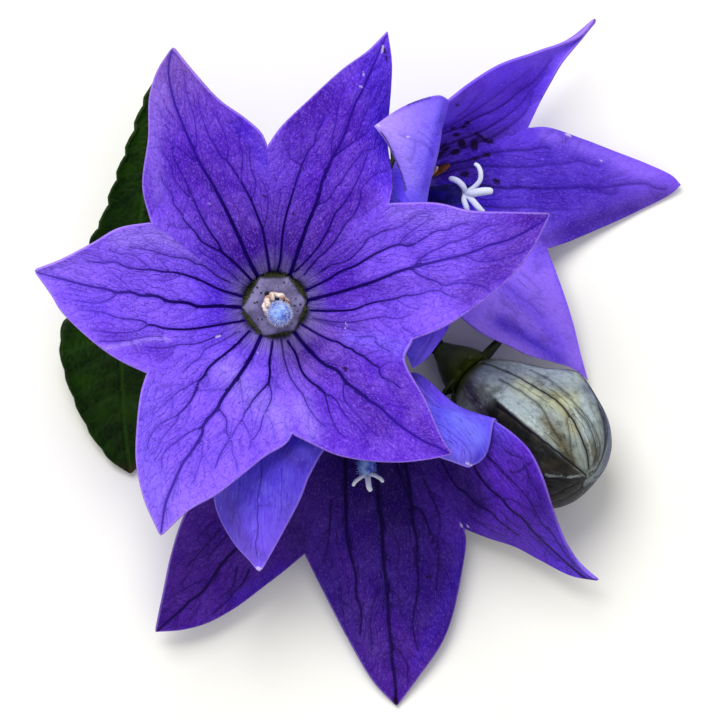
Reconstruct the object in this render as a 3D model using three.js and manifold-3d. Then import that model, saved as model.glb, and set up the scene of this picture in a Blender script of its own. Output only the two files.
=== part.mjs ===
import * as THREE from 'three';
import { mergeVertices } from 'three/addons/utils/BufferGeometryUtils.js';
import Module from 'manifold-3d';

// A cut spray of balloon flower: three open blooms, one balloon bud and two leaves on one stem.
// It lies on a table. Lengths are in millimetres and +Z is up.

const wasm = await Module();
wasm.setup();

// Outlines below are given as they look in plan from an eye this high above the table,
// so that a point nearer the eye is drawn in by its height.
const EYE_HEIGHT = 1000;
const PLAN_CENTRE = [0.173, -0.339];

const PETAL_THICKNESS = 0.6;
const LEAF_THICKNESS = 0.7;
const SEPAL_THICKNESS = 0.8;
const GAP = 0.2;
const SAME_POINT = 1e-4;

// Rows of facets along a lobe up to its notches and from there to its tip, and columns across it.
const ROWS_TO_NOTCH = 7;
const ROWS_PAST_NOTCH = 9;
const COLUMNS = 8;

// The tube of petals leaves a ring on the cup and flares out.
const RING_RADIUS = 3.9;
const FLARE_ANGLE = THREE.MathUtils.degToRad(34);
const FLARE_LENGTH = 5;
const RIB_LEAD = 0.55;

const PEDICEL_RADIUS = 1.05;
const STEM_RADIUS = 1.6;
const STEM_AXIS_HEIGHT = 1.42;

const FINISHES = {
  main: { color: 0x6a45e0, roughness: 0.6 },
  lower: { color: 0x3a1a96, roughness: 0.6 },
  upper: { color: 0x6a48de, roughness: 0.6 },
  bud: { color: 0x9aa5a8, roughness: 0.55 },
  green: { color: 0x24400f, roughness: 0.6 },
  leaf: { color: 0x143206, roughness: 0.35 },
  disc: { color: 0x8f86a8, roughness: 0.7 },
  style: { color: 0x8fa6e8, roughness: 0.7 },
  stamens: { color: 0xb59468, roughness: 0.8 },
};

// Each lobe runs from the ring at "angle" along "rib" to "tip". "before" and "after" are its
// free margins, from the notch on the clockwise or counterclockwise side to the tip.
// "walls" gives the line down the bell to a notch where it bulges past the straight way.
const MAIN_BLOOM = {
  name: 'main',
  base: [-10.6, 7.0, 15.6],
  axis: [0.03, -0.1, 1],
  across: [1, 0, 0],
  notches: [
    [3.6, 19.5, 23.4],
    [-11.6, 26.5, 24.5],
    [-26.0, 17.1, 24.0],
    [-26.5, -1.6, 24.0],
    [-8.5, -9.1, 24.0],
    [6.4, 2.6, 23.6],
  ],
  lobes: [
    {
      angle: 8,
      rib: [[1.25, 9.75, 19.8], [6.6, 11.75, 22.0], [14.0, 13.4, 23.8], [18.0, 15.0, 24.4]],
      tip: [23.75, 18.25, 24.6],
      before: [[10.25, 4.1, 24.2], [14.4, 6.75, 24.4], [18.4, 10.0, 24.6], [21.5, 13.9, 24.8]],
      after: [[9.6, 19.5, 24.8], [13.5, 18.6, 25.2], [18.4, 18.4, 25.2]],
    },
    {
      angle: 63,
      rib: [[-5.9, 15.7, 19.4], [-1.7, 25.5, 22.6], [1.4, 34.5, 23.8]],
      tip: [3.5, 41.0, 24.4],
      before: [[4.1, 22.25, 21.4], [3.5, 26.75, 19.9], [3.6, 30.1, 19.8], [3.9, 33.9, 21.0],
        [4.0, 37.25, 22.8]],
      after: [[-9.9, 29.0, 25.0], [-6.5, 32.4, 25.3], [-2.1, 36.4, 25.3], [1.25, 38.75, 25.0]],
    },
    {
      angle: 117.6,
      rib: [[-15.0, 15.6, 19.4], [-19.5, 26.0, 23.5], [-22.3, 34.0, 24.5]],
      tip: [-23.5, 39.0, 24.8],
      before: [[-12.4, 28.25, 25.2], [-14.4, 30.1, 25.4], [-17.75, 32.5, 25.4], [-21.1, 36.1, 25.3]],
      after: [[-27.1, 21.6, 24.6], [-26.4, 27.9, 25.0], [-26.25, 33.0, 25.2], [-25.25, 36.25, 25.1]],
    },
    {
      angle: 183,
      rib: [[-20.0, 7.3, 19.2], [-29.0, 8.6, 23.0], [-36.0, 10.3, 24.2]],
      tip: [-40.6, 11.1, 24.8],
      before: [[-30.1, 16.4, 25.0], [-33.4, 14.5, 25.3], [-37.5, 12.3, 25.2]],
      after: [[-30.1, 0.1, 24.5], [-33.0, 2.1, 24.8], [-37.25, 6.1, 25.0], [-38.4, 8.0, 25.0]],
    },
    {
      angle: 250,
      rib: [[-14.0, -0.4, 18.8], [-17.25, -5.0, 21.2], [-22.0, -12.6, 23.6], [-23.9, -16.5, 24.3]],
      tip: [-24.9, -21.9, 24.6],
      before: [[-27.25, -4.0, 24.3], [-27.75, -7.9, 24.6], [-27.9, -12.6, 24.8], [-26.9, -17.4, 24.9]],
      after: [[-9.25, -10.25, 24.2], [-11.9, -11.9, 24.5], [-14.6, -14.1, 24.8], [-18.0, -16.75, 25.0],
        [-21.5, -18.75, 25.0]],
    },
    {
      angle: 309,
      rib: [[-5.4, 0.5, 18.9], [-1.75, -2.6, 20.8], [2.5, -5.9, 22.8], [7.1, -9.6, 24.0]],
      tip: [11.5, -11.75, 24.4],
      before: [[-5.75, -10.5, 24.1], [-3.0, -11.75, 24.3], [0.6, -12.5, 24.4], [4.9, -12.75, 24.4],
        [8.5, -12.4, 24.4]],
      after: [[5.4, 0.25, 23.8], [8.1, -5.0, 24.1], [10.4, -10.1, 24.4]],
    },
  ],
};

const LOWER_BLOOM = {
  name: 'lower',
  base: [0.5, -4.0, 10.5],
  axis: [0.03, -0.94, 0.34],
  across: [1, 0, 0],
  walls: { 1: [[6.8, -1.9, 14.2], [12.1, -6.0, 16.0]] },
  notches: [
    [13.0, -21.1, 4.5],
    [16.75, -7.6, 17.2],
    [2.0, -10.5, 19.5],
    [-18.1, -13.75, 13.5],
    [-6.9, -24.25, 4.5],
  ],
  lobes: [
    {
      angle: -90,
      rib: [[1.6, -16.0, 4.6], [3.1, -27.0, 2.6], [4.0, -36.0, 1.5]],
      tip: [4.6, -43.25, 0.62],
      before: [[-4.75, -28.5, 3.8], [-2.1, -33.6, 2.9], [1.6, -40.0, 1.6]],
      after: [[13.25, -22.6, 4.3], [12.9, -25.4, 3.8], [11.6, -31.75, 3.0], [10.1, -35.6, 2.3],
        [7.0, -40.0, 1.5]],
    },
    {
      angle: -18,
      rib: [[9.0, -8.3, 10.6], [14.1, -13.4, 13.3], [18.0, -17.9, 13.8], [24.0, -23.3, 9.2]],
      tip: [29.6, -27.6, 5.5],
      before: [[15.9, -22.25, 4.6], [19.4, -23.4, 4.8], [22.6, -25.1, 5.0], [26.4, -27.0, 5.3]],
      after: [[18.75, -9.0, 18.2], [21.0, -11.25, 19.3], [22.6, -14.4, 19.3], [23.75, -17.9, 17.4],
        [24.9, -21.25, 13.6], [26.0, -23.75, 10.2], [27.75, -26.25, 7.2]],
    },
    {
      angle: 54,
      rib: [[6.5, -6.5, 17.0], [11.0, -9.0, 20.0], [13.6, -11.5, 19.6]],
      tip: [13.4, -13.25, 18.6],
      before: [[15.4, -12.0, 17.8]],
      after: [[8.0, -11.6, 20.2], [11.5, -12.6, 19.6]],
    },
    {
      angle: 126,
      rib: [[-4.5, -6.0, 16.5], [-10.0, -9.5, 19.6], [-12.2, -14.0, 20.3], [-12.8, -19.8, 19.6]],
      tip: [-12.5, -26.25, 17.6],
      before: [[-3.5, -10.2, 20.2], [-6.25, -14.0, 20.0], [-7.5, -17.1, 19.6], [-9.5, -20.9, 18.8],
        [-11.0, -23.6, 18.1]],
      after: [[-18.0, -17.0, 14.5], [-17.4, -19.4, 15.0], [-15.4, -22.9, 16.0], [-13.6, -24.9, 17.0]],
    },
    {
      angle: 198,
      rib: [[-8.0, -11.0, 8.2], [-15.5, -23.6, 6.5], [-19.6, -28.0, 5.4]],
      tip: [-25.5, -34.0, 4.0],
      before: [[-21.75, -19.25, 11.5], [-23.5, -24.4, 9.0], [-24.5, -29.1, 6.5]],
      after: [[-9.5, -26.4, 4.3], [-12.1, -28.4, 4.1], [-15.6, -31.0, 4.0], [-19.1, -32.9, 3.9],
        [-22.25, -33.75, 3.9]],
    },
  ],
};

const UPPER_BLOOM = {
  name: 'upper',
  base: [5.4, 20.6, 11],
  axis: [0.92, 0, 0.39],
  across: [0, 1, 0],
  notches: [
    [21.0, 29.0, 6.0],
    [11.25, 32.4, 19.5],
    [8.1, 17.25, 20.0],
    [12.1, 6.0, 14.5],
    [23.4, 13.9, 5.0],
  ],
  lobes: [
    {
      angle: -90,
      rib: [[15.0, 20.9, 6.2], [24.0, 21.5, 4.8], [33.0, 21.9, 3.4]],
      tip: [40.1, 21.9, 1.3],
      before: [[25.6, 14.6, 3.0], [29.0, 16.0, 1.6], [34.75, 18.6, 0.62], [39.1, 20.9, 0.8]],
      after: [[23.4, 29.1, 5.8], [27.6, 27.75, 5.0], [31.9, 26.1, 4.1], [36.25, 24.4, 3.0],
        [39.1, 23.0, 2.1]],
    },
    {
      angle: -18,
      rib: [[15.0, 30.3, 9.5], [20.0, 34.2, 10.0], [25.0, 38.6, 10.5]],
      tip: [29.5, 42.5, 10.0],
      before: [[22.6, 32.5, 8.0], [24.9, 37.1, 10.5], [27.6, 40.2, 10.4]],
      after: [[13.8, 34.4, 17.5], [17.45, 36.7, 15.0], [22.1, 38.3, 12.8], [27.5, 40.3, 11.0]],
    },
    {
      angle: 54,
      rib: [[7.5, 23.5, 17.0], [9.6, 25.6, 22.5], [6.8, 27.0, 24.2], [4.0, 28.3, 24.0]],
      tip: [1.75, 29.25, 23.4],
      before: [[9.9, 33.1, 21.5], [7.0, 32.4, 23.2], [4.6, 31.25, 23.6]],
      after: [[5.9, 20.0, 21.3], [5.25, 22.9, 22.1], [4.4, 24.9, 22.7], [3.25, 27.25, 23.2]],
    },
    {
      angle: 126,
      rib: [[8.0, 14.5, 16.5], [10.5, 8.5, 20.0], [9.0, 3.0, 19.8]],
      tip: [6.6, -1.1, 18.2],
      before: [[6.4, 12.0, 20.0], [5.8, 6.0, 20.0], [5.6, 1.5, 19.0]],
      after: [[10.5, 3.1, 17.0], [8.25, 0.1, 18.0]],
    },
    {
      angle: 198,
      rib: [[11.0, 14.5, 9.5], [18.0, 9.0, 9.0], [23.0, 4.5, 6.5], [26.5, 0.5, 3.8]],
      tip: [28.5, -2.5, 2.3],
      before: [[15.25, 3.4, 12.0], [19.0, 1.6, 9.0], [21.25, 0.5, 7.3], [24.1, -0.25, 5.0],
        [26.6, -1.1, 3.3]],
      after: [[23.9, 12.6, 5.0], [25.6, 8.0, 4.8], [26.75, 4.25, 4.0], [27.6, 0.75, 3.0]],
    },
  ],
};

const BUD = {
  base: [14.0, -2.2, 4.9],
  apex: [28.7, -15.2, 12.2],
  // Share of the length from the calyx, and the radius there.
  profile: [[0, 2.9], [0.05, 3.7], [0.14, 4.8], [0.28, 6.1], [0.44, 7.2], [0.58, 7.9], [0.7, 8.15],
    [0.82, 7.5], [0.91, 6.0], [0.965, 4.0], [0.99, 2.0]],
  ridges: 5,
  ridgeRise: 0.075,
  sidesPerRidge: 6,
};

const LEAVES = [
  {
    name: 'leaf_upper',
    rib: [[-28.6, 9.9, 1.9], [-27.8, 15.0, 4.2], [-26.4, 26.0, 6.2], [-25.0, 35.6, 6.4]],
    left: [[-29.3, 10.0, 2.2], [-31.6, 11.6, 3.8], [-33.6, 14.5, 5.0], [-32.2, 17.4, 5.6], [-30.9, 21.0, 6.3],
      [-29.4, 25.2, 6.8], [-28.2, 28.4, 7.0], [-26.6, 32.8, 6.8]],
    right: [[-27.9, 10.0, 2.2], [-24.6, 11.4, 3.8], [-21.8, 14.5, 5.4], [-20.2, 20.0, 6.4], [-20.8, 26.0, 7.0],
      [-22.8, 32.0, 6.9]],
    teeth: 9,
  },
  {
    name: 'leaf_lower',
    rib: [[-29.4, 6.1, 1.9], [-29.8, 0.0, 3.3], [-29.4, -8.0, 2.4], [-28.7, -14.2, 1.1]],
    left: [[-28.7, 6.0, 2.2], [-25.6, 4.8, 3.6], [-22.6, 2.2, 4.4], [-21.6, -2.6, 4.6], [-24.0, -9.0, 3.4]],
    right: [[-30.1, 6.0, 2.2], [-34.0, 6.4, 3.8], [-36.9, 4.8, 4.4], [-37.4, 1.2, 4.6], [-36.2, -3.6, 4.2],
      [-33.6, -9.2, 3.0], [-31.0, -12.6, 1.9]],
    teeth: 8,
  },
];

// How far the margin stands out or in at the rows of one tooth.
const TOOTH_BITES = [0.28, 0.1, -0.34];
const LEAF_COLUMNS = 6;

// The cup of sepals under a bloom, with "top" its rim's height from the ring of petals.
// The sepals reach past the cup by "reaches", first at "turn" degrees, and droop at their tips.
const BLOOM_CUP = { height: 7.4, radius: 4.5, top: -0.75 };
const CALYCES = {
  main: { ...BLOOM_CUP, turn: 30, reaches: [4.6, 4.6, 4.6, 4.6, 4.6, 4.6], droop: 0.6 },
  lower: { ...BLOOM_CUP, turn: 90, reaches: [2.6, 2.6, 2.6, 2.6, 0.9], droop: 2.8 },
  upper: { ...BLOOM_CUP, turn: 60, reaches: [3.6, 3.6, 3.6, 3.6, 3.6], droop: 1.6 },
  bud: { height: 5.6, radius: 3.3, top: -GAP, turn: 0, reaches: [4.4, 1.6, 1.6, 1.6, 1.6], droop: -0.5 },
};

// Shares of the cup's radius, and of its height down from the rim.
const CUP_OUTLINE = [[0.42, 0.86], [0.68, 0.62], [0.9, 0.34], [1, 0.12], [0.97, 0]];
const CUP_SIDES = 16;
const SEPAL = { root: 0.8, sink: 0.35, halfWidth: 0.36, fold: 0.3, taper: 1.6, rows: 4, columns: 2 };

// Radius and height above the ring of petals, from the axis out and back to it.
const DISC_FOOT = BLOOM_CUP.top + GAP;
const DISC_OUTLINE = [[0, DISC_FOOT], [2.6, DISC_FOOT], [3.3, DISC_FOOT + 0.5], [3.4, 0.25], [2.7, 0.9],
  [1.7, 1.15], [0, 1.15]];
const STYLE_FOOT = 1.35;
const CLUB_OUTLINE = [[0, STYLE_FOOT], [0.75, STYLE_FOOT], [0.7, 4], [0.85, 6.5], [1.3, 8.2], [1.5, 9.4],
  [1.3, 10.5], [0.7, 11.1], [0, 11.3]];
const COLLAR_OUTLINE = [[1.05, 1.4], [1.9, 1.4], [1.9, 2.1], [1.05, 2.1], [1.05, 1.4]];
const STYLE_SIDES = 12;

// Shares of an open style's radius and length, up to the split into arms.
const SHAFT_OUTLINE = [[0.75, 0.4], [1, 0.7], [0.95, 0.95], [0.5, 1], [0, 1]];
const SHAFT_FOOT_SHARE = 0.8;
const OPEN_STYLES = {
  lower: { length: 11.2, radius: 1.15, armLength: 2.0, turn: 54 },
  upper: { length: 8.0, radius: 1.25, armLength: 3.1, turn: 20 },
};
const STIGMA_ARM = { count: 5, radii: [0.45, 0.5, 0.55, 0.35], sides: 6, steps: 5 };

const STAMENS = {
  main: { count: 6, turn: 20, length: 1.0, lift: 1.0 },
  lower: { count: 5, turn: 54, length: 1.6, lift: 1.6 },
  upper: { count: 5, turn: 54, length: 1.6, lift: 1.6 },
};
const STAMEN_TUBE = { radii: [0.3, 0.42, 0.42, 0.32], sides: 4, steps: 4 };

// The stem lies on the table from its cut end to the fork, where the flower stalks leave it.
// "lead" is the straight end of a stalk below its cup.
const FORK = [-13.0, 7.4, 2.4];
const STEM_ROUTE = [[-36.0, 10.2, STEM_AXIS_HEIGHT], [-29.0, 8.0, STEM_AXIS_HEIGHT],
  [-20.0, 7.4, STEM_AXIS_HEIGHT], FORK];
const STEM_TAPER = [1, 1, 0.95, 0.85];
const STEM_TUBE = { sides: 12, steps: 9 };
const STALKS = {
  main: { route: [FORK, [-11.0, 7.5, 4.8]], lead: 1.5 },
  lower: { route: [FORK, [-6.0, 10.2, 4.4], [-1.0, 9.8, 6.0]], lead: 2 },
  upper: { route: [FORK, [-11.5, 13.0, 4.0], [-8.5, 18.6, 5.6]], lead: 2 },
  bud: { route: [FORK, [-5.0, 6.0, 1.9], [3.0, 4.6, 1.9]], lead: 2 },
};
const STALK_TUBE = { radii: [1.25, PEDICEL_RADIUS, PEDICEL_RADIUS], sides: 8, steps: 9 };

function plan(point) {
  const [x, y, z] = point;
  const drawnIn = 1 - z / EYE_HEIGHT;
  return new THREE.Vector3(x * drawnIn - PLAN_CENTRE[0], y * drawnIn - PLAN_CENTRE[1], z);
}

function smoothCurve(points) {
  return new THREE.CatmullRomCurve3(points, false, 'centripetal');
}

function bareGeometry(positions) {
  const geometry = new THREE.BufferGeometry();
  geometry.setAttribute('position', new THREE.Float32BufferAttribute(positions, 3));
  return geometry;
}

function mergedGeometry(geometry) {
  const bare = geometry.clone();
  bare.deleteAttribute('normal');
  bare.deleteAttribute('uv');
  return mergeVertices(bare, SAME_POINT);
}

function solidOf(geometry) {
  const merged = mergedGeometry(geometry);
  const mesh = new wasm.Mesh({
    numProp: 3,
    vertProperties: new Float32Array(merged.attributes.position.array),
    triVerts: new Uint32Array(merged.index.array),
  });
  return new wasm.Manifold(mesh);
}

function geometryOf(solid) {
  const mesh = solid.getMesh();
  const geometry = new THREE.BufferGeometry();
  geometry.setAttribute('position', new THREE.BufferAttribute(mesh.vertProperties, 3));
  geometry.setIndex(new THREE.BufferAttribute(mesh.triVerts, 1));
  geometry.computeVertexNormals();
  return geometry;
}

function joined(solids) {
  return solids.reduce((sum, solid) => sum.add(solid));
}

// Triangles of a grid of points, facing the side from which the rows run up and the columns left.
function gridTriangles(grid) {
  const positions = [];
  for (let row = 0; row < grid.length - 1; row += 1) {
    for (let column = 0; column < grid[row].length - 1; column += 1) {
      const a = grid[row][column];
      const b = grid[row][column + 1];
      const c = grid[row + 1][column + 1];
      const d = grid[row + 1][column];
      for (const corner of [a, d, c, a, c, b]) positions.push(corner.x, corner.y, corner.z);
    }
  }
  return positions;
}

// A blade of even thickness whose front face is the given triangles.
function bladeGeometry(positions, thickness) {
  const sheet = mergeVertices(bareGeometry(positions), SAME_POINT);
  const source = Array.from(sheet.index.array);
  const faces = [];
  for (let i = 0; i < source.length; i += 3) {
    const [a, b, c] = source.slice(i, i + 3);
    if (a !== b && b !== c && c !== a) faces.push([a, b, c]);
  }
  sheet.setIndex(faces.flat());
  sheet.computeVertexNormals();
  const front = sheet.attributes.position;
  const normal = sheet.attributes.normal;
  const count = front.count;
  const points = Array.from(front.array);
  for (let i = 0; i < count; i += 1) {
    points.push(
      front.getX(i) - normal.getX(i) * thickness,
      front.getY(i) - normal.getY(i) * thickness,
      front.getZ(i) - normal.getZ(i) * thickness,
    );
  }
  const edges = new Set();
  for (const [a, b, c] of faces) {
    edges.add(`${a},${b}`);
    edges.add(`${b},${c}`);
    edges.add(`${c},${a}`);
  }
  const all = [];
  for (const [a, b, c] of faces) {
    all.push(a, b, c, a + count, c + count, b + count);
    for (const [p, q] of [[a, b], [b, c], [c, a]]) {
      if (!edges.has(`${q},${p}`)) all.push(q, p, p + count, q, p + count, q + count);
    }
  }
  const geometry = bareGeometry(points);
  geometry.setIndex(all);
  geometry.computeVertexNormals();
  return geometry;
}

// Points across a lobe, on the smooth curve through its left edge, its rib and its right edge.
function crossRow(left, rib, right, columns) {
  const row = [];
  for (let i = 0; i <= columns; i += 1) {
    const u = (2 * i) / columns - 1;
    const point = rib.clone().multiplyScalar(1 - u * u);
    point.addScaledVector(left, (u * u - u) / 2);
    point.addScaledVector(right, (u * u + u) / 2);
    row.push(point);
  }
  return row;
}

function frameOf({ base, axis, across }) {
  const w = new THREE.Vector3(...axis).normalize();
  const v = new THREE.Vector3().crossVectors(w, new THREE.Vector3(...across)).normalize();
  const u = new THREE.Vector3().crossVectors(v, w);
  const matrix = new THREE.Matrix4().makeBasis(u, v, w);
  matrix.setPosition(plan(base));
  return { matrix, u, v, w, origin: plan(base) };
}

function ringStart(frame, degrees) {
  const angle = THREE.MathUtils.degToRad(degrees);
  const outward = frame.u.clone().multiplyScalar(Math.cos(angle)).addScaledVector(frame.v, Math.sin(angle));
  const start = frame.origin.clone().addScaledVector(outward, RING_RADIUS);
  const flared = start.clone().addScaledVector(outward, FLARE_LENGTH * Math.cos(FLARE_ANGLE));
  flared.addScaledVector(frame.w, FLARE_LENGTH * Math.sin(FLARE_ANGLE));
  return { start, flared };
}

// The line along which two neighbouring lobes are fused, from the ring to their notch.
function sinusCurve(frame, degrees, notch, wall) {
  const { start, flared } = ringStart(frame, degrees);
  if (wall) return smoothCurve([start, ...wall.map(plan), plan(notch)]);
  return new THREE.QuadraticBezierCurve3(start, flared, plan(notch));
}

function ribCurve(frame, lobe) {
  const { start, flared } = ringStart(frame, lobe.angle);
  const lead = start.clone().lerp(flared, RIB_LEAD);
  return smoothCurve([start, lead, ...lobe.rib.map(plan), plan(lobe.tip)]);
}

function between(first, second) {
  const span = (second - first + 720) % 360;
  return first + span / 2;
}

function corolla(bloom) {
  const frame = frameOf(bloom);
  const { lobes, notches, walls = {} } = bloom;
  const count = lobes.length;
  const sinuses = lobes.map((lobe, i) => (
    sinusCurve(frame, between(lobe.angle, lobes[(i + 1) % count].angle), notches[i], walls[i])
  ));
  const positions = [];
  lobes.forEach((lobe, i) => {
    const previous = (i + count - 1) % count;
    const rib = ribCurve(frame, lobe);
    const before = smoothCurve([notches[previous], ...lobe.before, lobe.tip].map(plan));
    const after = smoothCurve([notches[i], ...lobe.after, lobe.tip].map(plan));
    const grid = [];
    const rows = ROWS_TO_NOTCH + ROWS_PAST_NOTCH;
    for (let row = 0; row <= rows; row += 1) {
      const fused = Math.min(row / ROWS_TO_NOTCH, 1);
      const free = Math.max((row - ROWS_TO_NOTCH) / ROWS_PAST_NOTCH, 0);
      const left = free > 0 ? before.getPointAt(free) : sinuses[previous].getPointAt(fused);
      const right = free > 0 ? after.getPointAt(free) : sinuses[i].getPointAt(fused);
      grid.push(crossRow(left, rib.getPointAt(row / rows), right, COLUMNS));
    }
    positions.push(...gridTriangles(grid));
  });
  return bladeGeometry(positions, PETAL_THICKNESS);
}

// A closed body through rings of points, with a pole at each end.
function ringBody(startPole, rings, endPole) {
  const grid = [rings[0].map(() => startPole), ...rings, rings[0].map(() => endPole)];
  const closed = grid.map((ring) => [...ring, ring[0]].reverse());
  const merged = mergeVertices(bareGeometry(gridTriangles(closed)), SAME_POINT);
  const source = Array.from(merged.index.array);
  const faces = [];
  for (let i = 0; i < source.length; i += 3) {
    const [a, b, c] = source.slice(i, i + 3);
    if (a !== b && b !== c && c !== a) faces.push(a, b, c);
  }
  merged.setIndex(faces);
  return merged;
}

function circle(centre, across, up, radius, sides) {
  const points = [];
  for (let i = 0; i < sides; i += 1) {
    const angle = (i / sides) * 2 * Math.PI;
    const point = centre.clone().addScaledVector(across, radius * Math.cos(angle));
    points.push(point.addScaledVector(up, radius * Math.sin(angle)));
  }
  return points;
}

function taperedTube(points, { radii, sides, steps }) {
  const curve = smoothCurve(points);
  const frames = curve.computeFrenetFrames(steps, false);
  const rings = [];
  for (let i = 0; i <= steps; i += 1) {
    const place = (i / steps) * (radii.length - 1);
    const lower = Math.min(Math.floor(place), radii.length - 2);
    const radius = THREE.MathUtils.lerp(radii[lower], radii[lower + 1], place - lower);
    rings.push(circle(curve.getPointAt(i / steps), frames.normals[i], frames.binormals[i], radius, sides));
  }
  return ringBody(curve.getPointAt(0), rings, curve.getPointAt(1));
}

function lathe(outline, sides) {
  const geometry = new THREE.LatheGeometry(outline.map(([r, z]) => new THREE.Vector2(r, z)), sides);
  return geometry.rotateX(Math.PI / 2);
}

function outwardAt(degrees) {
  const angle = THREE.MathUtils.degToRad(degrees);
  return new THREE.Vector3(Math.cos(angle), Math.sin(angle), 0);
}

function sepal(along, root, length, droop, halfWidth) {
  const side = new THREE.Vector3(-along.y, along.x, 0);
  const grid = [];
  for (let row = 0; row <= SEPAL.rows; row += 1) {
    const t = row / SEPAL.rows;
    const rib = along.clone().multiplyScalar(root.radius + t * length);
    rib.z = root.height - droop * t * t;
    const width = halfWidth * (1 - t ** SEPAL.taper);
    const fold = new THREE.Vector3(0, 0, SEPAL.fold * (1 - t));
    const left = rib.clone().addScaledVector(side, -width).add(fold);
    const right = rib.clone().addScaledVector(side, width).add(fold);
    grid.push(crossRow(left, rib, right, SEPAL.columns));
  }
  return bladeGeometry(gridTriangles(grid), SEPAL_THICKNESS);
}

function calyx({ height, radius, top, reaches, turn, droop }) {
  const foot = top - height;
  const outline = CUP_OUTLINE.map(([across, down]) => [radius * across, top - height * down]);
  const cup = lathe([[0, foot], [PEDICEL_RADIUS + GAP / 2, foot], ...outline, [0, top]], CUP_SIDES);
  const parts = [solidOf(cup)];
  const root = { radius: radius * SEPAL.root, height: top - SEPAL.sink };
  reaches.forEach((reach, i) => {
    const along = outwardAt(turn + (360 * i) / reaches.length);
    const length = radius * (1 - SEPAL.root) + reach;
    parts.push(solidOf(sepal(along, root, length, droop, radius * SEPAL.halfWidth)));
  });
  return geometryOf(joined(parts));
}

// Style with its tip split into arms that curl outward.
function openStyle({ length, radius, armLength, turn }) {
  const outline = SHAFT_OUTLINE.map(([across, up]) => [radius * across, length * up]);
  const foot = [[0, STYLE_FOOT], [radius * SHAFT_FOOT_SHARE, STYLE_FOOT]];
  const parts = [solidOf(lathe([...foot, ...outline], STYLE_SIDES))];
  const bend = [[0.2, -1.0], [0.6, 0.5], [armLength * 0.6, 1.2], [armLength, 0.6]];
  for (let i = 0; i < STIGMA_ARM.count; i += 1) {
    const outward = outwardAt(turn + (360 * i) / STIGMA_ARM.count);
    const points = bend.map(([r, z]) => outward.clone().multiplyScalar(r).setZ(length + z));
    parts.push(solidOf(taperedTube(points, STIGMA_ARM)));
  }
  return geometryOf(joined(parts));
}

// Withered stamens: a low collar round the foot of the style with limp strips.
function stamens({ count, turn, length, lift }) {
  const parts = [solidOf(lathe(COLLAR_OUTLINE, STYLE_SIDES))];
  const bend = [[1.5, 1.7], [2.1, 2.4], [2.4 + length * 0.4, 2.6 + lift * 0.5], [2.2 + length, 2.4 + lift]];
  for (let i = 0; i < count; i += 1) {
    const outward = outwardAt(turn + (360 * i) / count);
    const points = bend.map(([r, z]) => outward.clone().multiplyScalar(r).setZ(z));
    parts.push(solidOf(taperedTube(points, STAMEN_TUBE)));
  }
  return geometryOf(joined(parts));
}

function budFrame() {
  const origin = plan(BUD.base);
  const w = plan(BUD.apex).sub(origin).normalize();
  const v = new THREE.Vector3(0, 0, 1).addScaledVector(w, -w.z).normalize();
  const u = new THREE.Vector3().crossVectors(v, w);
  const matrix = new THREE.Matrix4().makeBasis(u, v, w).setPosition(origin);
  return { matrix, u, v, w, origin };
}

// A balloon with five sharp ridges, the first one on top.
function balloonBud({ origin, u, v }) {
  const apex = plan(BUD.apex);
  const axis = apex.clone().sub(origin);
  const sides = BUD.ridges * BUD.sidesPerRidge;
  const rings = BUD.profile.map(([t, radius]) => {
    const centre = origin.clone().addScaledVector(axis, t);
    const ring = [];
    for (let i = 0; i < sides; i += 1) {
      const angle = (i / sides) * 2 * Math.PI;
      const crest = 1 - 2 * Math.abs(Math.sin((BUD.ridges / 2) * (angle - Math.PI / 2)));
      const r = radius * (1 + BUD.ridgeRise * crest * Math.sqrt(Math.sin(Math.PI * t)));
      const point = centre.clone().addScaledVector(u, r * Math.cos(angle));
      ring.push(point.addScaledVector(v, r * Math.sin(angle)));
    }
    return ring;
  });
  const geometry = ringBody(origin, rings, apex);
  geometry.computeVertexNormals();
  return geometry;
}

function leaf({ rib, left, right, teeth }) {
  const tip = rib[rib.length - 1];
  const ribLine = smoothCurve(rib.map(plan));
  const margins = [left, right].map((margin) => smoothCurve([...margin, tip].map(plan)));
  const rows = teeth * TOOTH_BITES.length;
  const grid = [];
  for (let row = 0; row <= rows; row += 1) {
    const t = row / rows;
    const middle = ribLine.getPointAt(t);
    const smoothEnd = row < 2 || row > rows - 2;
    const bite = smoothEnd ? 0 : TOOTH_BITES[row % TOOTH_BITES.length];
    const edges = margins.map((margin) => {
      const edge = margin.getPointAt(t);
      const outward = edge.clone().sub(middle).setZ(0).normalize();
      return edge.addScaledVector(outward, bite);
    });
    grid.push(crossRow(edges[0], middle, edges[1], LEAF_COLUMNS));
  }
  return bladeGeometry(gridTriangles(grid), LEAF_THICKNESS);
}

// The forked stem, cut level where it lies on the table.
function stem(frames) {
  const mainRadii = STEM_TAPER.map((share) => share * STEM_RADIUS);
  const parts = [solidOf(taperedTube(STEM_ROUTE.map(plan), { ...STEM_TUBE, radii: mainRadii }))];
  for (const [name, { route, lead }] of Object.entries(STALKS)) {
    const { origin, w } = frames[name];
    const depth = CALYCES[name].height - CALYCES[name].top + GAP;
    const foot = origin.clone().addScaledVector(w, -depth);
    const below = origin.clone().addScaledVector(w, -depth - lead);
    parts.push(solidOf(taperedTube([...route.map(plan), below, foot], STALK_TUBE)));
  }
  const table = new THREE.BoxGeometry(200, 200, 10).translate(0, 0, -5);
  return geometryOf(joined(parts).subtract(solidOf(table)));
}

function named(name, geometry, finish) {
  const material = new THREE.MeshStandardMaterial({ ...finish, metalness: 0 });
  const mesh = new THREE.Mesh(geometry, material);
  mesh.name = name;
  return mesh;
}

function turnedGroup({ matrix }) {
  const group = new THREE.Group();
  group.applyMatrix4(matrix);
  return group;
}

const blooms = [MAIN_BLOOM, LOWER_BLOOM, UPPER_BLOOM];
const frames = { bud: budFrame() };
for (const bloom of blooms) frames[bloom.name] = frameOf(bloom);

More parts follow.
